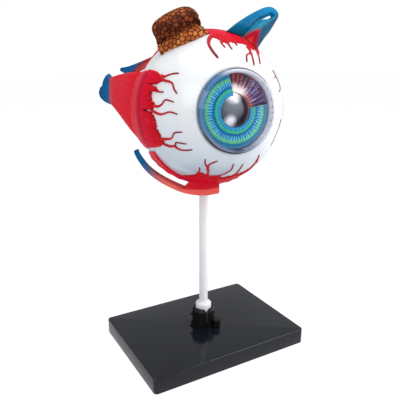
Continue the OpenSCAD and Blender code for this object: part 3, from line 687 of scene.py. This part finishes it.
def tendon_look():
    """Folded strap: teal-blue with bright fibres, navy on the outer side of the front leg, and a
    crimson wedge that widens to the front leg's foot."""
    look = Look("blue_tendon")
    u, v, w = look.split(look.place("UV"))
    fibre = look.noise(look.vector(u * 1.4, v * 11, 0.0), 1.0, 3, 0.6)
    broad = look.noise(look.vector(u * 2.0, v * 3.0, 3.0), 1.0, 2)
    # the first stops darken the back leg's foot: painted shade where the strap meets the eyeball
    colour = look.ramp(
        u + (broad - 0.5) * 0.04,
        [
            (0, srgb(0, 70, 96)), (0.04, srgb(0, 100, 140)), (0.2, srgb(0, 112, 162)),
            (0.4, srgb(0, 134, 186)), (0.5, srgb(0, 132, 180)), (0.62, srgb(0, 122, 160)),
            (1, srgb(0, 130, 160)),
        ],
    )
    navy = u.step(0.5, 0.68) * (v + (broad - 0.5) * 0.3).step(0.3, 0.55)
    colour = look.mix(navy, colour, srgb(0, 78, 112))
    wedge = u + (broad - 0.5) * 0.03 - (v - 0.46).size() * 0.24
    colour = look.mix(wedge.step(0.84, 0.91), colour, srgb(180, 6, 36))
    colour = look.mix(wedge.step(0.93, 0.98), colour, srgb(226, 48, 22))
    colour = look.mix(fibre.step(0.55, 0.75) * (1 - wedge.step(0.82, 0.9)) * 0.5, colour, srgb(0, 156, 206))
    colour = look.mix((1 - fibre.step(0.28, 0.48)) * 0.5, colour, srgb(70, 110, 140), "MULTIPLY")
    return look.skin(
        colour, 0.38 + broad * 0.1, look.bump(fibre, 0.00012, 0.6), **PAINTED
    )


def vessel_look(name, root, middle, end):
    """Painted blood vessel, darker towards its thin end."""
    look = Look(name)
    u, v, w = look.split(look.place("UV"))
    blotch = look.noise(look.place(), 900, 2)
    colour = look.ramp(
        u + (blotch - 0.5) * 0.25, [(0, srgb(*root)), (0.5, srgb(*middle)), (0.9, srgb(*end))]
    )
    return look.skin(colour, 0.35, Specular_IOR_Level=0.2, Coat_Weight=0.1)


def gland_look():
    """Tear gland: orange-brown cobbles on the skirt and the upper rim, dark brown ones between."""
    look = Look("gland_cobbles")
    tint = look.node("Attribute", {"attribute_name": "cell"}, out="Color")
    groove, chance, tone = [
        Val(look, s) for s in look.node("SeparateColor", {}, {"Color": tint}).socket.node.outputs[:3]
    ]
    speck = look.noise(look.place(), 700, 3)
    shade = tone + (chance - 0.5) * 0.4 + (speck - 0.5) * 0.2
    colour = look.ramp(
        shade,
        [
            (0.0, srgb(66, 22, 10)), (0.35, srgb(124, 54, 24)), (0.65, srgb(198, 104, 46)),
            (1.0, srgb(240, 154, 84)),
        ],
    )
    colour = look.mix(groove.step(0.1, 0.75), srgb(34, 10, 6), colour)
    return look.skin(colour, 0.5, look.bump(speck, 0.00015), Specular_IOR_Level=0.1, Coat_Weight=0.04)


# ---------- finishes of the stand ----------


def base_look():
    """Gloss charcoal plastic with a faint moulded grain."""
    look = Look("charcoal_base")
    place = look.place()
    fine = look.noise(place, 2200, 2)
    cloud = look.noise(place, 18, 3)
    colour = look.mix(cloud.step(0.3, 0.7), srgb(13, 17, 25), srgb(20, 24, 33))
    return look.skin(
        colour, 0.12 + cloud * 0.06, look.bump(fine, 0.00001), Specular_IOR_Level=0.3, Coat_Weight=0.04,
        Coat_Roughness=0.1,
    )


def plain_look(name, light, dark, rough, grain=900, coat=0.3):
    """Moulded plastic in one tone with faint clouds and a fine grain."""
    look = Look(name)
    place = look.place()
    fine = look.noise(place, grain, 2)
    cloud = look.noise(place, 40, 3)
    colour = look.mix(cloud.step(0.3, 0.7), srgb(*light), srgb(*dark))
    return look.skin(
        colour, rough + fine * 0.06, look.bump(fine, 0.00003), Specular_IOR_Level=0.25,
        Coat_Weight=coat, Coat_Roughness=0.1,
    )


def nerve_look(name, light, dark):
    """Bundle of fine fibres along the nerve."""
    look = Look(name)
    place = look.eye_place()
    turned_place = look.node(
        "Mapping", {"vector_type": "TEXTURE"}, {"Vector": place, "Rotation": (0, math.radians(165), 0)}
    )
    fibre = look.noise(look.scaled(turned_place, (2.4, 2.4, 0.08)), 1.0, 3)
    colour = look.mix(fibre.step(0.35, 0.65), srgb(*dark), srgb(*light))
    return look.skin(colour, 0.4, look.bump(fibre, 0.0002), Coat_Weight=0.2)


wear("sclera_front", white_shell_look("white_shell"))
wear("sclera_back", white_shell_look("white_back_shell", 0.5))
wear("iris", iris_look())
wear("ciliary_body", ciliary_look())
wear("lens", lens_look())
wear("cornea", cornea_look())
wear("vitreous_body", clear_look("clear_vitreous", srgb(206, 226, 236), 0.12, 0.5))
for layer, look in (
    ("choroid", layer_look("choroid_layer", (120, 42, 34), (190, 60, 44), 0.16, 0.8)),
    ("retina", layer_look("retina_layer", (234, 164, 96), (190, 50, 36), 0.07, 0.85)),
):
    wear(layer + "_back", look)
    wear(layer + "_front", look)
wear("nerve_sheath", nerve_look("nerve_sheath_skin", (238, 226, 200), (206, 188, 152)))
wear("optic_nerve", nerve_look("nerve_core_fibres", (244, 208, 96), (206, 158, 52)))
wear("central_vessels", plain_look("core_vessel", (190, 30, 40), (150, 22, 34), 0.3))
wear("support_rod", plain_look("white_rod", (250, 250, 250), (243, 244, 246), 0.3, coat=0.15))
wear("socket_clip", plain_look("black_socket", (6, 6, 8), (12, 12, 15), 0.4, coat=0.05))

# ---------- muscles ----------

crimson = muscle_look(
    "crimson_muscle",
    [
        # the pale stop at 0.072 is a painted highlight along the crease near the seam
        (0, (206, 0, 44)), (0.062, (220, 0, 50)), (0.072, (248, 76, 104)), (0.082, (236, 0, 42)),
        (0.3, (238, 0, 38)), (0.38, (232, 26, 48)), (0.43, (214, 80, 90)), (0.46, (96, 88, 126)),
        (0.49, (0, 98, 158)), (1, (0, 92, 146)),
    ],
    (250, 96, 108), (150, 10, 30), 60, blue_from=0.46, streak=0.42,
)
dark_red = muscle_look(
    "dark_red_muscle",
    [
        (0, (214, 24, 34)), (0.35, (206, 30, 26)), (0.62, (184, 36, 32)), (0.68, (90, 60, 90)),
        (0.73, (0, 112, 178)), (1, (0, 112, 178)),
    ],
    (236, 110, 84), (110, 14, 20), 50, blue_from=0.7,
)
pad_red = muscle_look(
    "pad_red",
    [(0, (200, 10, 28)), (0.3, (218, 4, 36)), (0.8, (224, 8, 52)), (1, (190, 4, 42))],
    (248, 112, 124), (120, 8, 28), 70, streak=0.55,
)
vessel_red = vessel_look("painted_vessel", (212, 12, 30), (190, 14, 36), (136, 20, 36))
fine_vessel = vessel_look("fine_vessel", (142, 58, 62), (150, 74, 74), (120, 92, 80))

lateral = strap(
    [
        at(83.9, 48.7, EDGE), at(86.1, 49.6, 0), at(95.7, 49.6, -37.8), at(101.7, 47.8, -80.4),
        at(106.4, 45.4, -108.7), at(110.2, 49.6, -117), at(113.9, 43.7, -125.3),
        at(114.4, 35.5, -127.7), at(117.3, 31.4, -135.9), at(119.4, 22.5, -140.7),
    ],
    [
        at(87.5, -44.4, EDGE), at(89.4, -45.9, 0), at(98.3, -28.4, -37.8), at(105.2, -7.1, -80.4),
        at(108.7, 4.3, -108.7), at(110.2, 5.2, -118.2), at(113, 7.1, -125.3), at(115.4, 9.9, -132.4),
        at(117.3, 13.7, -138.3), at(119.4, 17.7, -140.7),
    ],
    2.4, 2.6, 200, 180, count=44,
)
medial = strap(
    [at(-92.2, -40.2, 4.7), at(-92.2, -40.2, -7.1), at(-93.4, -28.4, -47.3), at(-85.1, -16.5, -85.1),
     at(-74.5, -7.1, -118.2), at(-69.7, 1.2, -134.8)],
    [at(-93.4, 37.8, 4.7), at(-93.4, 37.8, -7.1), at(-94.6, 29.6, -47.3), at(-86.3, 18.9, -85.1),
     at(-75.7, 11.8, -118.2), at(-70.9, 5.9, -134.8)],
    1.4, 2.6, 140, 120, count=34, seed=2,
)
superior = strap(
    [
        at(-45.4, 85.8, EDGE), at(-46.3, 87.9, 0), at(-18.9, 94.6, -28.4), at(18.9, 86.3, -52),
        at(44.9, 74.5, -66.2), at(63.8, 65.2, -87.5), at(76.8, 59.1, -113.5), at(86.3, 57.2, -134.8),
    ],
    [
        at(38.5, 89.4, EDGE), at(41.6, 89.8, 0), at(61.5, 75.7, -18.9), at(73.3, 56.7, -42.6),
        at(76.8, 50.6, -70.9), at(80.4, 49.4, -99.3), at(84.9, 49.2, -120.6), at(87.9, 53, -134.8),
    ],
    0.8, 2.2, 160, 130, count=34, seed=3,
)
for name, solid, node, look, slot in (
    ("side_muscle", lateral, "lateral_rectus", crimson, "muscle_red"),
    ("nose_side_muscle", medial, "medial_rectus", crimson, "muscle_red"),
    ("upper_muscle", superior, "superior_rectus", dark_red, "muscle_dark_red"),
):
    points, faces, uv = solid
    piece(name, from_eye(points), faces, "eye_back", [node], look, uv)
wear("inferior_rectus", under_muscle_look())

pads = {
    "lateral_insertion": (
        pad(
            [
                [59, 70], [61, 63], [65, 60], [68, 66], [72, 63], [78, 68], [83, 64], [89, 66],
                [97, 62], [103, 63.5], [109, 62], [114, 61], [117, 67],
            ],
            [[59, 90], [117, 90]], 40, 360, 2.5, 60, 11, [(69.5, 7), (88.3, 8), (75, 3)],
        ),
        [
            ([[64, 61], [61, 61], [56, 57], [51, 54]],),
            ([[64, 62], [60, 64], [53, 64], [49, 69], [46, 72]], 1.7),
            ([[66, 73], [61, 73.5], [57, 73]],),
            ([[66, 84], [61, 85], [57, 83], [54, 79], [47, 80]], 1.5),
            ([[67, 88], [58, 91], [50, 89], [44, 91]],),
            ([[63, 111], [57, 112], [53, 112], [49, 108], [43, 109]],),
            ([[63, 115], [57, 119], [53, 119], [51, 117], [44, 122]], 1.5),
            ([[54, 119], [51, 125], [43, 130]],),
        ],
    ),
    "superior_insertion": (
        pad(
            [
                [-33, 62], [-28, 55], [-21, 51], [-20, 57], [-13, 55], [-9, 53], [-5, 54], [1, 53],
                [4, 54], [6, 58], [8.5, 63],
            ],
            [[-33, 90], [8.5, 90]], 40, 280, 0.9, 44, 12,
        ),
        [
            ([[65, 7.5], [61, 12], [55, 16], [48, 17.5], [40, 17]], 2.4, 1),
            ([[56, 4], [52, 5], [48, 4]],), ([[55, -1], [50, -1], [46, -2]],), ([[55, -8], [51, -9]],),
            ([[54, -20], [48, -22], [43, -17], [36, -16]], 1.6),
            ([[53, -20], [50, -22], [43, -24], [36, -26]], 1.8),
            ([[57, -30], [50, -32], [41, -34]], 1.6), ([[60, -32], [54, -33]],),
        ],
    ),
    "inferior_insertion": (
        pad(
            [
                [150, 74], [152, 68], [154, 60], [156, 56], [161, 57], [168, 58], [172, 57], [179, 59],
                [186, 57], [194, 58], [204, 56], [212, 48],
            ],
            [[150, 90], [175, 90], [179, 78], [187, 67], [195, 63], [204, 60], [212, 50]],
            40, 320, 1.7, 50, 13,
        ),
        [
            ([[60, 164], [55, 161], [50, 158], [46, 151], [42, 147]], 1.5),
            ([[51, 158], [46, 155], [42, 157], [39, 160]],),
            ([[61, 165], [58, 167], [54, 175], [47, 181], [40, 180]],),
            ([[58, 188], [56, 189], [49, 191], [43, 193]],),
            ([[51, 210], [47, 212], [43, 214]],), ([[60, 154], [56, 153], [52, 150]],),
        ],
    ),
    "nasal_vessels": (
        None,
        [
            (
                [[50.8, 308], [50.4, 303.5], [50.2, 298.5], [50.5, 292], [47, 288.5], [42, 288]],
                0.7, 0.5,
            ),
            ([[50.2, 302], [47.5, 302], [44.5, 304]], 0.6, 0.4),
            ([[46.5, 259], [46.2, 253], [46.2, 247], [46, 239], [49, 231]], 0.5, 0.3),
        ],
    ),
}
for node, (relief, routes) in pads.items():
    if relief is not None:
        points, faces, uv = relief
        piece(node + "_pad", from_eye(points), faces, "front_shell", [node], pad_red, uv)
    points, faces, uv = joined([vessel(*route) for route in routes])
    look = fine_vessel if relief is None else vessel_red
    piece(node + "_branches", from_eye(points), faces, "front_shell", [node], look, uv)

# ---------- slanting muscles ----------

coral = muscle_look(
    "coral_muscle",
    [
        (0, (244, 92, 86)), (0.3, (255, 106, 98)), (0.52, (248, 112, 104)), (0.62, (196, 112, 120)),
        (0.7, (96, 108, 146)), (0.78, (0, 106, 160)), (0.94, (0, 98, 150)), (0.985, (6, 56, 90)),
        (1, (10, 34, 60)),
    ],
    (255, 166, 150), (170, 60, 50), 22, blue_from=0.7, streak=0.4, root=(220, 18, 40),
)
upper_strap = strap(
    [
        at(-33.3, 89.6, 36.4), at(-44, 99.3, 34.3), at(-55.8, 108.7, 30.7), at(-67.4, 113.9, 28.4),
        at(-76.1, 117.3, 26), at(-78, 116.5, 25.8), at(-77.8, 115.4, 26), at(-67.4, 111.2, 30.3),
        at(-54.2, 109.4, 34.9), at(-42.5, 100.2, 38.4), at(-31.6, 89.8, 40),
    ],
    [
        at(-11.3, 96.5, 31.7), at(-27, 105.4, 28.4), at(-45.6, 114.2, 24.1), at(-64.3, 122.2, 19.9),
        at(-76.1, 125.3, 17.5), at(-85.1, 123.9, 17.5), at(-88.4, 116.8, 21.7), at(-81.8, 107.8, 26.5),
        at(-69, 94.6, 35.5), at(-56.7, 85.6, 46.1), at(-42.8, 73.5, 56.7),
    ],
    3.0, 3.0, 220, 60, hug=False, count=12, depth=0.12, tip=0, seed=5, feet=0.09,
)
under_front, under_back = (
    [
        at(-1.2, -107.1, 29.6), at(21.3, -107.1, 33.1), at(42.6, -104, 24.8), at(57.9, -98.1, 10.6),
        at(70.9, -89.8, -7.1), at(80.4, -79.2, -26), at(86.3, -65, -44.9), at(87.5, -55.6, -54.4),
    ],
    [
        at(-1.2, -107.1, 5.9), at(16.5, -107.1, 5.9), at(33.1, -105.2, 0), at(47.3, -99.3, -14.2),
        at(61.5, -91, -30.7), at(73.3, -80.4, -47.3), at(81.6, -66.2, -61.5), at(85.1, -56.7, -63.8),
    ],
)
lower_strap = strap(
    under_front, under_back,
    2.8, 3.2, 180, 70, hug=False, count=14, depth=0.12, tip=0.03, seed=6,
)


def strap_root(n=60, m=12):
    """Solid that fills the space from the lower strap to the inside of its pad, in front of the
    seam, over the first third of the strap, with a rounded end."""
    f = np.linspace(0, 1, n)
    edge = curve(under_front, f * 0.32) - np.array([0, 0, 0.05])
    z = lerp(np.maximum(edge[:, 2], SEAM + 0.6)[:, None], SEAM + 0.3, np.linspace(0, 1, m)[None])
    low = np.stack([np.broadcast_to(edge[:, :1], z.shape), np.broadcast_to(edge[:, 1:2], z.shape), z], -1)
    flat = low[..., :2]
    top = flat * (np.sqrt((BALL_R + 1.2) ** 2 - z**2) / np.linalg.norm(flat, axis=-1))[..., None]
    top = np.concatenate([top, z[..., None]], -1)
    k = np.sqrt(1 - np.clip(5 * f - 4, 0, 1) ** 2)[:, None, None]
    return slab(low + [0, -0.6, 0], lerp(low + [0, -0.2, 0], top, k))


root_points, root_faces, root_uv = strap_root()
root_uv = root_uv * [0.32, 0.1]
for name, solid, node, look, slot in (
    ("upper_slanting_strap", upper_strap, "superior_oblique", tendon_look(), "tendon_blue"),
    (
        "lower_slanting_strap", joined([lower_strap, (root_points, root_faces, root_uv)]),
        "inferior_oblique", coral, "muscle_coral",
    ),
):
    points, faces, uv = solid
    piece(name, from_eye(points), faces, "front_shell", [node], look, uv)

# ---------- tear gland ----------

GLAND_FROM, GLAND_TO = 9.6, 46.0  # clock angles of the gland's ends
LOBE_NOSE, LOBE_TEMPLE = 3.5, 6.5  # the lobe starts and stops this much later and sooner
GLAND_TOP, GLAND_FOOT, LOBE_DEPTH = 13.8, 3.2, 9  # lobe's top and bottom over the ball, and its depth
CELL = 2.0  # least distance of two cobbles


def gland_points(rows, columns):
    """Rings across the gland, each a closed section: the skirt, the groove, the round lobe and the
    underside as distances from the gaze axis and along it, placed at the ring's clock angle."""
    share = 0.5 - 0.5 * np.cos(np.linspace(0, np.pi, rows))
    full = np.clip(1 - np.abs(2 * share - 1) ** 4, 0, 1) ** 0.25
    foot = np.interp(
        lerp(GLAND_FROM, GLAND_TO, share), [8, 14, 22, 30, 37, 42, 46], [70, 67.5, 66, 67.5, 72, 77, 80]
    )
    r = BALL_R + 0.1
    z0, r0 = r * np.cos(np.radians(foot)), r * np.sin(np.radians(foot))
    top, base = BALL_R + GLAND_TOP * (0.25 + 0.75 * full), np.full(rows, BALL_R + GLAND_FOOT)
    mid, back = (top + base) / 2, SEAM - LOBE_DEPTH * full
    flat = np.full(rows, SEAM + 0.6)
    section = [
        (r0, z0, 0.0), (r0 + 2.2 * full, z0 + 0.9, 0.0), (r0 + 4.2 * full, z0 + 0.6, 0.2),
        (base + 0.4, z0 - 2, 0.8),
    ]
    for a in np.radians(np.arange(-30, 175, 17)):
        section.append(
            (mid + (top - mid) * math.sin(a), lerp(back, z0 + 0.4, 0.5 + 0.5 * math.cos(a)), 1.0)
        )
    under = np.radians((foot + 78) / 2)
    section += [
        (base, back + 0.6, 0.6), (base, flat * 0 + SEAM - 0.3, 0.3),
        (np.sqrt(r**2 - flat**2), flat, 0.0), (r * np.sin(under), r * np.cos(under), 0.0),
    ]
    table = np.array([[s[0], s[1], np.full(rows, s[2])] for s in section])
    closed = np.concatenate([table[-1:], table, table[:2]])
    where = np.linspace(0, len(section), columns, endpoint=False)
    k = where.astype(int)
    t = (where - k)[:, None, None]
    fine = between(closed[k], closed[k + 1], closed[k + 2], closed[np.minimum(k + 3, len(closed) - 1)], t)
    radius, along, taper = fine[:, 0].T, fine[:, 1].T, fine[:, 2].T
    clock = np.radians(lerp(GLAND_FROM + LOBE_NOSE * taper, GLAND_TO - LOBE_TEMPLE * taper, share[:, None]))
    return np.stack(
        [-radius * np.sin(clock), radius * np.cos(clock), along], -1
    ), taper, where / len(section)


def scattered(points, gap):
    """Points at least a gap apart: the first of a shuffled list is kept and all nearer ones leave it,
    until none is left."""
    left = points[rng.permutation(len(points))]
    kept = []
    while len(left):
        kept.append(left[0])
        left = left[np.linalg.norm(left - left[0], axis=1) > gap]
    return np.array(kept)


def cobbles(points, seeds):
    """Share 0 in the grooves to 1 on the cobbles, and each point's cobble: cells round the seeds,
    with the groove where the two nearest seeds are almost as near."""
    flat = points.reshape(-1, 3)
    near, cell = np.zeros(len(flat)), np.zeros(len(flat), int)
    for start in range(0, len(flat), 4000):
        gap = np.linalg.norm(flat[start:start + 4000, None] - seeds[None], axis=-1)
        order = np.argpartition(gap, 1, axis=1)[:, :2]
        two = np.take_along_axis(gap, order, 1)
        near[start:start + 4000] = np.abs(two[:, 0] - two[:, 1])
        cell[start:start + 4000] = np.take_along_axis(order, two.argmin(1)[:, None], 1)[:, 0]
    return near.reshape(points.shape[:-1]), cell.reshape(points.shape[:-1])


gland, taper, around = gland_points(200, 260)
rows, columns = gland.shape[:2]
seeds = scattered(gland.reshape(-1, 3), CELL)
near, cell = cobbles(gland, seeds)
raised = smooth(near, 0.05, 0.85)
normal = unit(np.cross(np.gradient(gland, axis=0), np.roll(gland, -1, 1) - np.roll(gland, 1, 1)))
outside = smooth(np.linalg.norm(gland, axis=-1), BALL_R + 0.6, BALL_R + 1.6)
gland = gland + normal * (raised * 0.5 - 0.25)[..., None] * outside[..., None]
height = np.linalg.norm(gland[..., :2], axis=-1)
skirt = 1 - smooth(taper, 0.3, 0.9)
rim = smooth(height, 51, 55) * smooth(gland[..., 2], 0, 9)
tone = np.clip(0.3 + 0.42 * skirt + 0.3 * rim, 0, 1)
chance = rng.random(len(seeds))[cell]
ends = np.stack([gland[0].mean(0), gland[-1].mean(0)])
last = rows * columns
turn = np.arange(columns)
caps = [
    np.stack([np.full(columns, last), (turn + 1) % columns, turn], -1),
    np.stack(
        [np.full(columns, last + 1), last - columns + turn, last - columns + (turn + 1) % columns], -1
    ),
]
tint = np.stack([raised, chance, tone], -1).reshape(-1, 3)
tint = np.concatenate([tint, [[0.0, 0.5, 0.3]] * 2])
piece(
    "tear_gland",
    from_eye(np.concatenate([gland.reshape(-1, 3), ends])),
    [grid_quads(rows, columns, around=True), *caps],
    "front_shell", ["lacrimal_gland"], gland_look(), tint=tint,
)

# ---------- base ----------


PLATE = np.array([107, 77])  # long and short side of the base plate
PLATE_H, PLATE_CORNER, PLATE_WALL, LIP = 10, 2.5, 2.4, 0.7
POST_R, HOLE_R, HOLE_FLOOR = 7.4, 5.0, 2.0  # post round the socket's hole, the hole and its floor


def plate_path(inset, count=16):
    """Rounded rectangle of the base plate, drawn in by the inset, as points around it."""
    half, radius = PLATE / 2 - inset, max(PLATE_CORNER - inset, 0.5)
    corner = np.radians(np.linspace(0, 90, count))
    path = []
    for k, (sx, sy) in enumerate(((1, 1), (-1, 1), (-1, -1), (1, -1))):
        a = corner + k * np.pi / 2
        path.append(
            np.stack(
                [
                    sx * (half[0] - radius) + radius * np.cos(a),
                    sy * (half[1] - radius) + radius * np.sin(a),
                ],
                -1,
            )
        )
    return np.concatenate(path)


def base_points():
    """Base plate as rings from the middle of its underside round its edge to the floor of the
    socket's hole: each ring is the rounded rectangle drawn in by an inset, or a circle."""
    outline = plate_path(0)
    turn = np.arctan2(outline[:, 1], outline[:, 0])
    under = PLATE_H - PLATE_WALL
    rings = [
        ("circle", 0.01, 0), ("circle", POST_R - 0.2, 0), ("circle", POST_R, 0.2),
        ("circle", POST_R, under), ("plate", PLATE_WALL, under), ("plate", PLATE_WALL, 0.1),
        ("plate", PLATE_WALL - 0.2, 0), ("plate", 0.4, 0), ("plate", 0.1, 0.1), ("plate", 0, 0.4),
    ]
    arc = np.radians(np.linspace(0, 90, 7))
    rings += [("plate", LIP - LIP * math.cos(a), PLATE_H - LIP + LIP * math.sin(a)) for a in arc]
    rings += [
        ("circle", HOLE_R + 0.2, PLATE_H), ("circle", HOLE_R, PLATE_H - 0.2),
        ("circle", HOLE_R, HOLE_FLOOR), ("circle", 0.01, HOLE_FLOOR),
    ]
    grid = []
    for kind, size, z in rings:
        flat = plate_path(size) if kind == "plate" else size * np.stack([np.cos(turn), np.sin(turn)], -1)
        grid.append(np.concatenate([flat, np.full((len(flat), 1), z)], 1))
    return np.array(grid)


base = base_points()
piece(
    "base_plate_body", base.reshape(-1, 3) * MM,
    [grid_quads(len(base), base.shape[1], around=True)[:, ::-1]],
    "stand", ["base_plate"], base_look(), sharp=35,
)

# ---------- studio ----------


def softbox(name, place, aim, size, power, colour=(1, 1, 1)):
    """Square area lamp at a place, aimed at a point."""
    lamp = bpy.data.lights.new(name, "AREA")
    lamp.size, lamp.energy, lamp.color = size, power, colour
    obj = bpy.data.objects.new(name, lamp)
    bpy.context.scene.collection.objects.link(obj)
    obj.location = place
    to = np.asarray(aim, float) - np.asarray(place, float)
    obj.rotation_mode = "QUATERNION"
    obj.rotation_quaternion = Vector(to).to_track_quat("-Z", "Y")


def studio_white(look, level):
    """White for the camera and in reflections and clear plastic, and the level for the rest."""
    path = look.node("LightPath").socket.node
    seen = [Val(look, path.outputs[k]) for k in ("Is Camera Ray", "Is Glossy Ray", "Is Transmission Ray")]
    return look.node("Clamp", {}, {"Value": seen[0] + seen[1] * level + seen[2]})


world = bpy.data.worlds.new("studio")
bpy.context.scene.world = world
sky = Look("studio", world)
amount = studio_white(sky, 0.4)
dim = sky.node("Background", {}, {"Color": (0.9, 0.95, 1.0, 1), "Strength": 0.4})
bright = sky.node("Background", {}, {"Color": (1, 1, 1, 1), "Strength": 1.0})
sky.end(sky.node("MixShader", {}, {0: amount, 1: dim, 2: bright}), "World")

floor_look = Look("pale_floor")
seen = studio_white(floor_look, 0.3)
paper = floor_look.node("BsdfDiffuse", {}, {"Color": (0.86, 0.87, 0.88, 1)})
glow = floor_look.node("Emission", {}, {"Color": (1, 1, 1, 1), "Strength": 1.15})
floor_look.end(floor_look.node("MixShader", {}, {0: seen * 0.8, 1: paper, 2: glow}))
floor_mesh = bpy.data.meshes.new("floor")
SIDE, LEVEL = 4, -0.0002
corners = [(-SIDE, -SIDE, LEVEL), (SIDE, -SIDE, LEVEL), (SIDE, SIDE, LEVEL), (-SIDE, SIDE, LEVEL)]
floor_mesh.from_pydata(corners, [], [(0, 1, 2, 3)])
floor_mesh.materials.append(floor_look.material)
floor = bpy.data.objects.new("floor", floor_mesh)
bpy.context.scene.collection.objects.link(floor)

softbox("key", (0.55, -0.5, 0.75), (0, 0, 0.15), 0.45, 4.8)
softbox("right", (0.85, -0.1, 0.2), (0, 0, 0.14), 0.6, 2.4)
softbox("left", (-0.7, -0.5, 0.5), (0, 0, 0.15), 0.5, 1.9)
softbox("top", (-0.15, 0.0, 0.95), (0, 0, 0.15), 0.5, 2.8)

camera = bpy.data.cameras.new("camera")
SENSOR, FOCAL, PICTURE = 36.0, 485.841, 400  # the focal length and the picture in pixels
camera.sensor_width, camera.lens = SENSOR, SENSOR * FOCAL / PICTURE
camera.clip_start, camera.clip_end = 0.01, 20
camera_object = bpy.data.objects.new("camera", camera)
bpy.context.scene.collection.objects.link(camera_object)
AZIMUTH, ELEVATION, DISTANCE = math.radians(-29.772), math.radians(16.59), 300.431
ASIDE, HEIGHT = -2.256, 95.822  # the point looked at, sideways and over the floor
back = np.array(
    [
        math.sin(AZIMUTH) * math.cos(ELEVATION), -math.cos(AZIMUTH) * math.cos(ELEVATION),
        math.sin(ELEVATION),
    ]
)
right = np.array([math.cos(AZIMUTH), math.sin(AZIMUTH), 0])
up = np.cross(back, right)
target = right * ASIDE + np.array([0, 0, HEIGHT])
camera_object.location = (target + back * DISTANCE) * MM
camera_object.rotation_mode = "QUATERNION"
camera_object.rotation_quaternion = Matrix(np.stack([right, up, back], 1).tolist()).to_quaternion()
bpy.context.scene.camera = camera_object
bpy.context.scene.view_settings.view_transform = "Standard"
